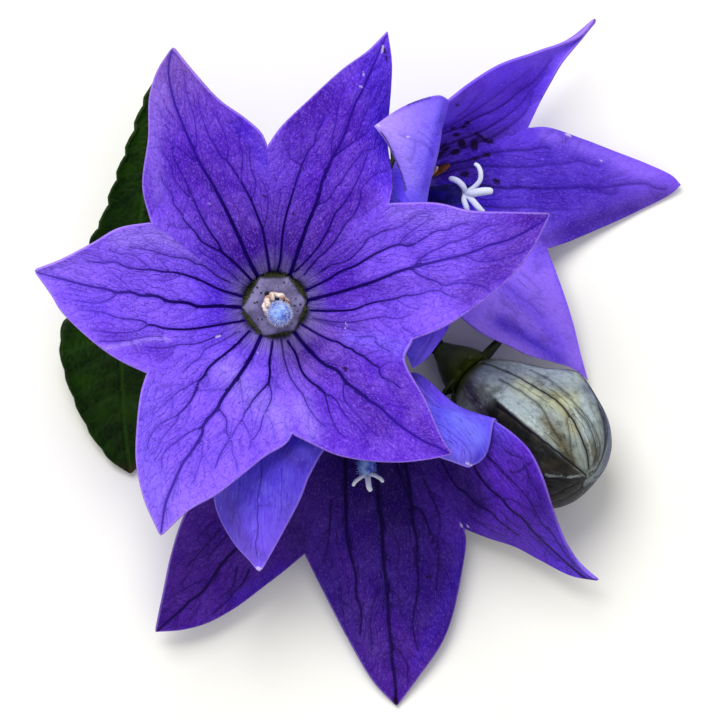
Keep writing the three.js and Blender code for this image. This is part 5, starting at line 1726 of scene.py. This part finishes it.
def bud_surface(axes, reach):
    """The bud's form by the shares round it and along it."""
    profile = smooth_line([(share, radius / reach, 0) for share, radius in BUD["profile"]]).points
    shoulder = BUD["shoulder"]

    def form(around, along):
        angle = 2 * np.pi * around
        turn = (np.degrees(angle) + 90) % 360 - 180
        radius = np.interp(along, profile[:, 0], profile[:, 1]) * reach
        crest = 1 - 2 * np.abs(np.sin(BUD["ridges"] / 2 * (angle - np.pi / 2)))
        swell = np.sqrt(np.clip(np.sin(np.pi * along), 0, 1))
        sideways = np.exp(-((turn - shoulder["turn"]) / shoulder["spread"]) ** 2)
        lengthways = np.exp(-((along - shoulder["along"]) / shoulder["reach"]) ** 2)
        radius = radius * (1 + BUD["ridge_rise"] * crest * swell) + shoulder["rise"] * sideways * lengthways
        return axes.polar(angle, np.where((along <= 0) | (along >= 1), 0, radius), along * reach)

    return form


def lines_on_bud(form, lines):
    """Lines that the photograph shows, laid on the side of the bud that faces up."""
    turns, rows = BUD_SEARCH
    around, along = np.meshgrid(np.arange(turns) / turns, np.linspace(0.01, 0.995, rows))
    points = form(around.ravel(), along.ravel()).reshape(rows, turns, 3)
    facing = np.cross(np.gradient(points, axis=1), np.gradient(points, axis=0))[..., 2]
    shown = points[facing > 0]
    tree = tree_of([(*place, 0.0) for place in seen_from_above(shown)])
    net = VeinNet()
    for start_half, end_half, pixels in lines:
        route = smooth_line(on_table(pixels))
        count = max(int(route.length / BUD_LINE_STEP), 3)
        found = [tree.find((*place, 0.0))[1] for place in route.evenly(count)]
        half = np.linspace(start_half, end_half, count) / PIXELS_PER_MM
        net.lay(smooth_line(shown[found]).evenly(2 * count), np.repeat(half, 2))
    return net


def build_bud(settings):
    axes = bud_axes()
    reach = np.linalg.norm(plan(BUD["apex"]) - axes.origin)
    form = bud_surface(axes, reach)
    bm = bmesh.new()
    formed_grid(bm, GRIDS["bud"], form)
    closed_up(bm)
    piece = new_piece("bud_skin", bm, [bud_finish(settings)], "bud_skin", "corolla_bud")
    mesh = piece.data
    points = vertex_values(mesh, "position") / MM
    side, up, along = ((points - axes.origin) @ way for way in (axes.u, axes.v, axes.w / reach))
    turn = -np.arctan2(side, up)

    lines = lines_on_bud(form, BUD_VEINS)
    rows = np.linspace(*HIDDEN_RIDGE["along"], HIDDEN_RIDGE["rows"])
    for ridge in range(1, BUD["ridges"]):
        around = np.full_like(rows, 0.25 + ridge / BUD["ridges"])
        lines.lay(form(around, rows), np.full_like(rows, HIDDEN_RIDGE["half"]))
    line_step, line_half, _ = lines.near(points)
    light_step, light_half, _ = lines_on_bud(form, BUD_LIGHTS).near(points)
    tints = np.tile(named_colour("ash"), (len(points), 1))
    write_colours(mesh, "tint", toned(tints, seen_from_above(points), BUD_TONES_AND_PAINTED_LIGHT))
    write_vectors(mesh, "bud_place", turn, along, 0 * turn)
    write_vectors(mesh, "bud_flat", turn * BUD_FLAT_RADIUS, along * reach, 0 * turn)
    write_vectors(mesh, "line_step", *line_step.T)
    write_vectors(mesh, "light_step", *light_step.T)
    write_vectors(mesh, "line_size", line_half, light_half, 0 * turn)


def leaf_face(settings, name, colour):
    """One side of a leaf: its mid vein, side veins and net of small veins, and a browned tip."""
    coat = Coat("leaf_" + name, settings, 0.42, 0.1)
    vein, row_vein, tip = coat.parts("leaf_place")
    mottle = coat.noise(coat.place, 300.0, 4.0, 0.6)
    grain = coat.noise(coat.place, 2000.0, 3.0, 0.6)
    edge = coat.cells(coat.place, 1100.0, dimensions="3D")
    tint = coat.laid(colour, "face_light", mottle, 0.35, 0.7)
    tint = coat.laid(tint, "vein", edge, 0.14, 0.02, 0.12)
    tint = coat.laid(tint, "vein", row_vein, 0.12, 0.02, 0.35)
    tint = coat.laid(tint, "vein", vein, 0.35, 0.1, 0.6)
    tint = coat.laid(tint, "glint", coat.noise(coat.place, 170.0, 4.0, 0.6), 0.62, 0.78, 0.35)
    tint = coat.laid(tint, "scorch", tip, 0.9, 1.0, 0.7)
    veins = coat.ramp(row_vein, 0.0, 0.6) * 0.8 + coat.ramp(vein, 0.0, 0.6)
    height = veins + coat.ramp(edge, 0.0, 0.4) * 0.5 + grain * 0.2
    return coat.finished(tint, height, 0.12, 0.8, grain, 0.34, 0.54)


def build_leaf(leaf, settings):
    name = leaf["name"]
    rib = smooth_line(plan(leaf["rib"]))
    margins = [smooth_line(plan([*leaf[side], leaf["rib"][-1]])) for side in ("left", "right")]
    steps = leaf["teeth"] * len(TOOTH_BITES)
    bites = [TOOTH_BITES[row % len(TOOTH_BITES)] if 2 <= row <= steps - 2 else 0 for row in range(steps + 1)]

    def form(side_share, along):
        middle = rib.at(along)
        bite = np.interp(along * steps, np.arange(steps + 1), bites)[:, None]
        edges = []
        for margin in margins:
            edge = margin.at(along)
            edges.append(edge + unit((edge - middle) * (1, 1, 0)) * bite * leaf["bite"])
        return spanned(edges[0], middle, edges[1], (2 * side_share - 1)[:, None])

    bm = bmesh.new()
    place_layer = bm.verts.layers.float_vector.new("leaf_place")
    verts, shares = formed_grid(bm, (LEAF_COLUMNS, steps * LEAF_ROWS_PER_STEP), form)
    side_share, along = shares.T
    middle = form(np.full_like(along, 0.5), along)
    reach = np.linalg.norm(form(side_share, along) - middle, axis=-1)
    rows = (along * rib.length - SIDE_VEIN_SLOPE * reach) / SIDE_VEIN_SPACING
    beside = np.abs((rows + SIDE_VEIN_OFFSET * np.sign(2 * side_share - 1)) % 1 - 0.5)
    row_reach = (0.5 - beside) * SIDE_VEIN_SPACING * SIDE_VEIN_SLOPE
    for vert, near, row, high in zip(verts, reach, row_reach, along):
        vert[place_layer] = (near, row, high)
    closed_up(bm)
    for face in bm.faces:
        face.normal_update()
    if sum(face.normal.z * face.calc_area() for face in bm.faces) < 0:
        bmesh.ops.reverse_faces(bm, faces=bm.faces)
    materials = [leaf_face(settings, f"{name}_{side}", side) for side in ("face", "back")]
    give_wall(new_piece(name + "_blade", bm, materials, "leaf_green", name), settings.thickness)


def green_finish(settings, name, joint=None):
    """Green skin with dark streaks, yellower near a joint if there is one."""
    coat = Coat(name, settings, 0.45, 0.25)
    mottle = coat.noise(coat.place, 350.0, 4.0, 0.6)
    drawn = coat.node("ShaderNodeMapping", {}, {"Vector": coat.place, "Scale": (1.0, 1.0, 0.25)})
    streak = coat.noise(drawn, 1400.0, 3.0, 0.6)
    grain = coat.noise(coat.place, 3000.0, 2.0, 0.6)
    tint = coat.laid("green", "green_light", mottle, 0.35, 0.7)
    tint = coat.laid(tint, "green_dark", streak, 0.5, 0.8, 0.35)
    if joint:
        away = coat.away_from(joint) + (mottle - 0.5) * MM
        tint = coat.laid(tint, "joint", away, 4.2 * MM, 2.2 * MM, 0.85)
    return coat.finished(tint, streak * 0.6 + grain * 0.4, 0.08, 0.7, grain, 0.38, 0.58)


def build_calyx(name, axes, material):
    """A turned cup on its stalk with the sepals that leave its top."""
    spec = CALYCES[name]
    top, height, radius = spec["top"], spec["height"], spec["radius"]
    outline = [(0, top - height), (PEDICEL_RADIUS + GAP / 2, top - height)]
    outline += [(radius * wide, top - height * down) for wide, down in CUP_OUTLINE]
    outline.append((0, top))
    bm = bmesh.new()
    turned_body(bm, axes, outline, GRIDS["cup"], rippled("cup"))
    closed_up(bm)
    sepals = bmesh.new()
    for number, reach in enumerate(spec["reaches"]):
        angle = math.radians(spec["turn"] + 360 * number / len(spec["reaches"]))
        outward = np.array([math.cos(angle), math.sin(angle), 0.0])
        sideways = np.array([-outward[1], outward[0], 0.0])

        def form(side_share, along):
            across = 1 - 2 * side_share
            width = radius * SEPAL["half_width"] * (1 - along ** SEPAL["taper"])
            away = radius * SEPAL["root"] + along * (radius * (1 - SEPAL["root"]) + reach)
            fold = SEPAL["fold"] * (1 - along) * across ** 2
            rise = top - SEPAL["sink"] - spec["droop"] * along ** 2 + fold
            local = outward * away[:, None] + sideways * (width * across)[:, None]
            local[:, 2] += rise
            return axes.placed(local)

        formed_grid(sepals, GRIDS["sepal"], form)
    bmesh.ops.remove_doubles(sepals, verts=sepals.verts, dist=WELD)
    bmesh.ops.solidify(sepals, geom=sepals.faces[:], thickness=SEPAL["thickness"] * MM)
    bmesh.ops.recalc_face_normals(sepals, faces=sepals.faces)
    join(bm, sepals)
    new_piece("sepals_" + name, bm, [material], "green_stem", "calyx_" + name)


def disc_finish(settings):
    """Felt with dark specks, painted shade round its edge and painted shade in one small hole."""
    coat = Coat("disc_felt", settings, 0.75, 0.2, 0.2)
    mottle = coat.noise(coat.place, 500.0, 4.0, 0.65)
    grain = coat.noise(coat.place, 2600.0, 3.0, 0.6)
    tint = coat.laid("disc", "disc_light", mottle, 0.35, 0.7)
    speck = coat.ramp(coat.cells(coat.place, 1300.0, "F1", "3D"), 0.26, 0.14)
    tint = coat.blend(speck * coat.ramp(mottle, 0.42, 0.55), tint, "disc_dark")
    tint = coat.laid(tint, "disc_dark", grain, 0.6, 0.75, 0.4)
    rim = coat.attribute("rim", "Fac") + (mottle - 0.5) * 0.05
    # Painted shade round the disc's edge, where it sinks among the petals.
    tint = coat.laid(tint, "disc_edge", rim, 0.575, 0.53, 0.85)
    # Painted shade for a small hole, which the disc's mesh doesn't have.
    tint = coat.laid(tint, "disc_hole", coat.away_from(HOLE), 0.45 * MM, 0.3 * MM, 0.95)
    return coat.finished(tint, mottle * 0.6 + grain * 0.5, 0.12, 0.8, grain, 0.65, 0.85)


def corner_share(corners, angle):
    """How far a polygon's side is from its middle, by the angle, as a share of its corners' distance."""
    corners = np.sort(np.radians(corners) % (2 * np.pi))
    closed = np.append(corners, corners[0] + 2 * np.pi)
    angle = (angle - corners[0]) % (2 * np.pi) + corners[0]
    number = np.clip(np.searchsorted(closed, angle, side="right") - 1, 0, len(corners) - 1)
    half = (closed[number + 1] - closed[number]) / 2
    return np.cos(half) / np.cos(angle - closed[number] - half)


def build_disc(bloom, materials, settings):
    """The disc with a corner at each midrib and a fringe of short hairs round its sides."""
    name = bloom["name"]
    axes = axes_of(bloom, shift=bloom["disc_shift"])
    corners = [lobe["angle"] for lobe in bloom["lobes"]]
    bm = bmesh.new()
    rim_layer = bm.verts.layers.float.new("rim")
    verts, shares = turned_body(bm, axes, DISC_OUTLINE, GRIDS["disc"],
                                lambda angle: corner_share(corners, angle))
    for vert, along in zip(verts, shares[:, 1]):
        vert[rim_layer] = along
    closed_up(bm)
    disc_faces = len(bm.faces)
    random = np.random.default_rng(FRINGE_SEED)
    for _ in range(settings.fringe_hairs):
        angle = random.uniform(0, 2 * math.pi)
        share = float(corner_share(corners, angle))
        if share > FRINGE["share"]:
            continue
        place = (angle, DISC_RADIUS * share - FRINGE["sink"], random.uniform(FRINGE["low"], FRINGE["high"]))
        add_hair(bm, axes, random, place, FRINGE, COARSE_HAIR)
    faces_from(bm, disc_faces, 1)
    new_piece("disc_top_" + name, bm, materials, "disc_grey", "disc_" + name)


def style_finish(settings, name, low, high):
    """Felt of two colours."""
    coat = Coat("style_felt_" + name, settings, 0.6, 0.15, 0.1)
    mottle = coat.noise(coat.place, 900.0, 4.0, 0.6)
    grain = coat.noise(coat.place, 3500.0, 2.0, 0.6)
    tint = coat.laid(low, high, mottle, 0.3, 0.7)
    return coat.finished(tint, (mottle + grain) * 0.6, 0.1, 0.8, grain, 0.5, 0.7)


def build_club(axes, materials, settings):
    """A closed style with a downy head."""
    bm = bmesh.new()
    turned_body(bm, axes, CLUB_OUTLINE, GRIDS["club"])
    closed_up(bm)
    club_faces = len(bm.faces)
    random = np.random.default_rng(CLUB_SEED)
    for _ in range(settings.hairs):
        angle = random.uniform(0, 2 * math.pi)
        height = random.uniform(CLUB_HAIR["low"], CLUB_HAIR["high"])
        add_hair(bm, axes, random, (angle, np.interp(height, *CLUB_ROOTS), height), CLUB_HAIR, COARSE_HAIR)
    faces_from(bm, club_faces, 1)
    new_piece("style_knob", bm, materials, "style_blue", "style_main")


def build_open_style(bloom, axes, materials, settings):
    """A downy shaft that ends in curled arms."""
    name = bloom["name"]
    spec = OPEN_STYLES[name]
    length, radius = spec["length"], spec["radius"]
    bm = bmesh.new()
    outline = [(radius * wide, length * up) for wide, up in SHAFT_OUTLINE]
    turned_body(bm, axes, outline, GRIDS["shaft"], rippled("shaft"))
    closed_up(bm)
    random = np.random.default_rng(bloom["seed"])
    for _ in range(settings.hairs):
        angle = random.uniform(0, 2 * math.pi)
        share = random.uniform(SHAFT_HAIR["low"], SHAFT_HAIR["high"])
        place = (angle, np.interp(share, *SHAFT_ROOTS) * radius, share * length)
        add_hair(bm, axes, random, place, SHAFT_HAIR, FINE_HAIR)
    shaft_faces = len(bm.faces)
    arms = bmesh.new()
    end = axes.placed((0, 0, length - ARM_SINK))
    for half, points in spec["arms"]:
        places = [(*on_table(point[:2]), end[2] + point[2]) for point in points]
        radii = np.array(STIGMA_ARM_SHARES) * half / PIXELS_PER_MM
        tube(arms, np.vstack([end, plan(places)]), radii, GRIDS["arm"])
    closed_up(arms)
    join(bm, arms)
    faces_from(bm, shaft_faces, 1)
    new_piece("style_open_" + name, bm, materials, "style_blue", "style_" + name)


def build_stamens(bloom, axes, materials):
    """A collar with the withered stamens, dull on the side that the photograph doesn't show."""
    name = bloom["name"]
    spec = STAMENS[name]
    bm = bmesh.new()
    turned_body(bm, axes, COLLAR_OUTLINE, GRIDS["collar"], rippled("collar"))
    random = np.random.default_rng(bloom["seed"])
    for number in range(spec["count"]):
        angle = math.radians(spec["turn"] + 360 * number / spec["count"])
        outward = np.array([math.cos(angle), math.sin(angle), 0.0])
        route = [axes.placed(outward * away + (0, 0, rise) + random.normal(size=3) * STAMEN_WANDER)
                 for away, rise in spec["bend"]]
        first_face = len(bm.faces)
        tube(bm, route, [radius * random.uniform(*STAMEN_SWELL) for radius in STAMEN_RADII], GRIDS["stamen"])
        if axes.outward(angle) @ PALE_SIDE < PALE_FROM:
            faces_from(bm, first_face, 1)
    if bloom is UPPER_BLOOM:
        first_face = len(bm.faces)
        route = laid_on(lobes_of(bloom), FALLEN_ANTHER)[::4]
        tube(bm, route + (0, 0, FALLEN_RADII[2]), FALLEN_RADII, GRIDS["anther"])
        faces_from(bm, first_face, 2)
    closed_up(bm)
    new_piece("withered_stamens_" + name, bm, materials, "anther_tan", "stamens_" + name)


def floor_finish(settings):
    coat = Coat("table_paper", settings, 0.85, 0.2)
    greyer = [value * TABLE_SHADE for value in settings.table]
    coat.feed("Base Color", coat.laid("table", greyer, coat.noise(coat.place, 60.0, 3.0, 0.5), 0.3, 0.7))
    return coat.material


def build_stage(settings):
    bm = bmesh.new()
    bmesh.ops.create_grid(bm, x_segments=8, y_segments=8, size=settings.table_reach)
    mesh = bpy.data.meshes.new("table_top")
    bm.to_mesh(mesh)
    bm.free()
    mesh.materials.append(floor_finish(settings))
    table = bpy.data.objects.new("table_top", mesh)
    bpy.context.scene.collection.objects.link(table)

    world = bpy.data.worlds.new("studio")
    world.use_nodes = True
    world.node_tree.nodes["Background"].inputs["Color"].default_value = (1.0, 1.0, 1.0, 1.0)
    world.node_tree.nodes["Background"].inputs["Strength"].default_value = settings.fill
    bpy.context.scene.world = world

    lamp_data = bpy.data.lights.new("window", "AREA")
    lamp_data.energy = settings.lamp_power
    lamp_data.shape = "DISK"
    lamp_data.size = settings.lamp_size
    lamp = bpy.data.objects.new("window", lamp_data)
    lamp.location = settings.lamp_place
    lamp.rotation_euler = (-Vector(settings.lamp_place)).to_track_quat("-Z", "Y").to_euler()
    bpy.context.scene.collection.objects.link(lamp)

    camera_data = bpy.data.cameras.new("overhead")
    camera_data.lens = CAMERA_LENS
    camera_data.sensor_width = CAMERA_SENSOR
    camera_data.clip_end = FARTHEST_SEEN
    camera = bpy.data.objects.new("overhead", camera_data)
    camera.location = (-PLAN_CENTRE[0] * MM, -PLAN_CENTRE[1] * MM, CAMERA_HEIGHT)
    bpy.context.scene.collection.objects.link(camera)
    bpy.context.scene.camera = camera
    bpy.context.scene.view_settings.view_transform = "Standard"


def colour(name, description, default):
    return FloatVectorProperty(name=name, description=description, default=default, size=3,
                               subtype="COLOR", min=0.0, max=1.0)


class PetalSettings(bpy.types.PropertyGroup):
    """Sizes and colours of the petals."""

    thickness: FloatProperty(
        name="Thickness", description="Thickness of a petal", default=0.35 * MM, unit="LENGTH", precision=5)
    roughness: FloatProperty(
        name="Roughness", description="How matt the petals are", default=0.52, min=0.1, max=0.9)
    relief: FloatProperty(
        name="Relief", description="Strength of the quilted surface", default=1.1, min=0.0, max=2.0)
    vein: colour("Vein", "Colour of the main veins", (0.07, 0.0, 0.33))
    vein_far: colour("Outer vein", "Blue of the veins far from the disc", (0.16, 0.03, 0.62))
    vein_thin: colour("Thin vein", "Colour of the fine veins", (0.19, 0.05, 0.64))
    bloom_light: colour("Bloom", "Pale violet sheen between the veins", (0.62, 0.46, 0.98))
    deep: colour("Deep violet", "Deep violet of the creases", (0.22, 0.06, 0.60))
    fringe: colour("Fringe", "Olive zone where the petals meet the disc", (0.19, 0.20, 0.07))
    stain: colour("Stain", "Brown black stains", (0.09, 0.02, 0.07))
    fleck: colour("Fleck", "White flecks", (0.88, 0.84, 0.98))
    back_light: colour("Outer bloom", "Pale blue of the petals' outer side", (0.55, 0.52, 0.99))
    margin: colour("Margin", "Pale edge of the petals", (0.74, 0.60, 0.99))
    heart: colour("Heart", "Pale zone round the disc", (0.52, 0.46, 0.68))


class BudSettings(bpy.types.PropertyGroup):
    """Colours of the closed bud."""

    skin: colour("Skin", "Pale streaks of the bud's lower side", (0.34, 0.36, 0.38))
    skin_light: colour("Light skin", "Pale patches of the bud", (0.80, 0.85, 0.84))
    skin_dark: colour("Shaded skin", "Dark lower side of the bud", (0.06, 0.05, 0.06))
    brown: colour("Brown", "Brown patches of the bud", (0.33, 0.29, 0.22))
    foot: colour("Foot", "Yellow green beside the sepals", (0.26, 0.30, 0.08))
    flake: colour("Flakes", "White flakes along the ridges", (0.82, 0.88, 0.88))
    seam: colour("Seam", "Dark lines along the ridges", (0.05, 0.04, 0.12))


class GreenSettings(bpy.types.PropertyGroup):
    """Sizes and colours of the leaves, sepals and stem."""

    thickness: FloatProperty(
        name="Leaf thickness", description="Thickness of a leaf", default=0.4 * MM, unit="LENGTH",
        precision=5)
    face: colour("Leaf", "Upper side of a leaf", (0.045, 0.125, 0.0))
    face_light: colour("Leaf light", "Lighter patches of a leaf", (0.11, 0.225, 0.0))
    back: colour("Leaf back", "Under side of a leaf", (0.25, 0.36, 0.18))
    vein: colour("Leaf vein", "Veins of a leaf", (0.14, 0.28, 0.03))
    glint: colour("Leaf glint", "Pale glints of a leaf", (0.24, 0.38, 0.24))
    scorch: colour("Leaf tip", "Browned tip of a leaf", (0.22, 0.14, 0.10))
    green: colour("Stem", "Stem and sepals", (0.07, 0.11, 0.02))
    green_light: colour("Stem light", "Lighter patches of the stem", (0.15, 0.22, 0.04))
    green_dark: colour("Stem dark", "Dark streaks of the stem", (0.025, 0.04, 0.01))
    joint: colour("Joint", "Yellow green where the sepals hold the bud", (0.27, 0.32, 0.02))


class HeartSettings(bpy.types.PropertyGroup):
    """Colours and hairs of the discs, styles and stamens."""

    disc: colour("Disc", "Grey mauve of the disc", (0.33, 0.30, 0.44))
    disc_light: colour("Disc light", "Pale patches of the disc", (0.52, 0.49, 0.66))
    disc_dark: colour("Disc dark", "Specks on the disc", (0.15, 0.12, 0.20))
    disc_edge: colour("Disc edge", "Dark olive edge of the disc", (0.10, 0.10, 0.08))
    disc_hole: colour("Disc hole", "Dark hole in the disc", (0.03, 0.02, 0.05))
    style: colour("Style", "Blue of the style", (0.10, 0.17, 0.76))
    style_light: colour("Style light", "Pale blue of the style", (0.66, 0.80, 0.99))
    dark_style: colour("Dark style", "Dark blue fur of an open style", (0.02, 0.0, 0.26))
    dark_style_light: colour("Dark style light", "Lighter fur of an open style", (0.12, 0.08, 0.52))
    stigma: colour("Stigma", "White of the stigma arms", (0.84, 0.86, 0.92))
    anther: colour("Anther", "Tan of the withered stamens", (0.66, 0.46, 0.34))
    anther_light: colour("Anther light", "Pale folds of the stamens", (1.0, 0.95, 0.88))
    brown: colour("Brown anther", "Brown of the fallen anther", (0.30, 0.14, 0.08))
    brown_light: colour("Brown anther light", "Lighter folds of the fallen anther", (0.56, 0.30, 0.14))
    fringe: colour("Fringe", "Dark olive hairs round a disc", (0.06, 0.07, 0.03))
    fringe_light: colour("Fringe light", "Yellow green hairs round a disc", (0.34, 0.38, 0.06))
    fringe_hairs: IntProperty(name="Fringe hairs", description="Hairs round each disc", default=700, min=0,
                              max=3000)
    hairs: IntProperty(name="Hairs", description="Hairs on each style", default=420, min=0, max=2000)


class StageSettings(bpy.types.PropertyGroup):
    """The table, the light and the room's fill light."""

    table: colour("Table", "White of the table", (0.975, 0.97, 0.945))
    table_reach: FloatProperty(
        name="Table", description="Half the table's width", default=1.5, unit="LENGTH")
    fill: FloatProperty(name="Fill", description="Strength of the light all round", default=0.6)
    lamp_power: FloatProperty(name="Lamp", description="Power of the window light", default=8.7)
    lamp_size: FloatProperty(name="Lamp size", description="Width of the window light", default=0.6,
                             unit="LENGTH")
    lamp_place: FloatVectorProperty(name="Lamp place", description="Where the window light stands",
                                    default=(-0.2, 0.55, 0.85), size=3, subtype="TRANSLATION")


class SPRAY_OT_corollas(bpy.types.Operator):
    """Build the petals of the three open blooms"""

    bl_idname = "spray.corollas"
    bl_label = "Corollas"

    def execute(self, context):
        for bloom in BLOOMS:
            build_corolla(bloom, context.scene.spray_petals)
        return {"FINISHED"}


class SPRAY_OT_bud(bpy.types.Operator):
    """Build the closed bud"""

    bl_idname = "spray.bud"
    bl_label = "Bud"

    def execute(self, context):
        build_bud(context.scene.spray_bud)
        return {"FINISHED"}


class SPRAY_OT_greens(bpy.types.Operator):
    """Build the leaves and the cups of sepals, and finish the stem"""

    bl_idname = "spray.greens"
    bl_label = "Leaves and sepals"

    def execute(self, context):
        settings = context.scene.spray_greens
        for leaf in LEAVES:
            build_leaf(leaf, settings)
        green = green_finish(settings, "sepal_green")
        for bloom in BLOOMS:
            build_calyx(bloom["name"], axes_of(bloom), green)
        build_calyx("bud", bud_axes(), green_finish(settings, "bud_sepal_green", JOINT))
        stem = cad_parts["stem"]
        bark = green_finish(settings, "stem_green")
        for slot in stem.material_slots:
            slot.material = bark
        return {"FINISHED"}


class SPRAY_OT_hearts(bpy.types.Operator):
    """Build the discs, styles and withered stamens of the open blooms"""

    bl_idname = "spray.hearts"
    bl_label = "Discs and styles"

    def execute(self, context):
        settings = context.scene.spray_hearts
        disc = disc_finish(settings)
        blue = style_finish(settings, "blue", "style", "style_light")
        dark = style_finish(settings, "dark", "dark_style", "dark_style_light")
        white = style_finish(settings, "white", "stigma", "stigma")
        tan = style_finish(settings, "tan", "anther", "anther_light")
        dull = style_finish(settings, "dull", "disc_dark", "anther")
        brown = style_finish(settings, "brown", "brown", "brown_light")
        olive = style_finish(settings, "olive", "fringe", "fringe_light")
        for bloom in BLOOMS:
            axes = axes_of(bloom, lean=bloom["lean"])
            build_disc(bloom, [disc, olive], settings)
            build_stamens(bloom, axes, [tan, dull, brown])
            if bloom is MAIN_BLOOM:
                build_club(axes, [blue, white], settings)
            else:
                felt = dark if bloom is UPPER_BLOOM else blue
                build_open_style(bloom, axes, [felt, white], settings)
        return {"FINISHED"}


class SPRAY_OT_stage(bpy.types.Operator):
    """Set up the table, the lights and the camera"""

    bl_idname = "spray.stage"
    bl_label = "Stage"

    def execute(self, context):
        build_stage(context.scene.spray_stage)
        return {"FINISHED"}


class SPRAY_PT_panel(bpy.types.Panel):
    """Lists the spray's pieces and their settings"""

    bl_idname = "SPRAY_PT_panel"
    bl_label = "Balloon Flower"
    bl_space_type = "VIEW_3D"
    bl_region_type = "UI"
    bl_category = "Balloon Flower"

    def draw(self, context):
        scene = context.scene
        groups = (
            ("spray.corollas", scene.spray_petals),
            ("spray.bud", scene.spray_bud),
            ("spray.greens", scene.spray_greens),
            ("spray.hearts", scene.spray_hearts),
            ("spray.stage", scene.spray_stage),
        )
        for operator, settings in groups:
            box = self.layout.box()
            box.operator(operator)
            for name in settings.__annotations__:
                box.prop(settings, name)


CLASSES = (
    PetalSettings, BudSettings, GreenSettings, HeartSettings, StageSettings,
    SPRAY_OT_corollas, SPRAY_OT_bud, SPRAY_OT_greens, SPRAY_OT_hearts, SPRAY_OT_stage,
    SPRAY_PT_panel,
)
SETTINGS = {
    "spray_petals": PetalSettings,
    "spray_bud": BudSettings,
    "spray_greens": GreenSettings,
    "spray_hearts": HeartSettings,
    "spray_stage": StageSettings,
}


def register():
    for kind in CLASSES:
        bpy.utils.register_class(kind)
    for name, group in SETTINGS.items():
        setattr(bpy.types.Scene, name, PointerProperty(type=group))


def unregister():
    for name in SETTINGS:
        delattr(bpy.types.Scene, name)
    for kind in reversed(CLASSES):
        bpy.utils.unregister_class(kind)


def main():
    register()
    bpy.ops.spray.corollas()
    bpy.ops.spray.bud()
    bpy.ops.spray.greens()
    bpy.ops.spray.hearts()
    bpy.ops.spray.stage()


if __name__ == "__main__":
    main()
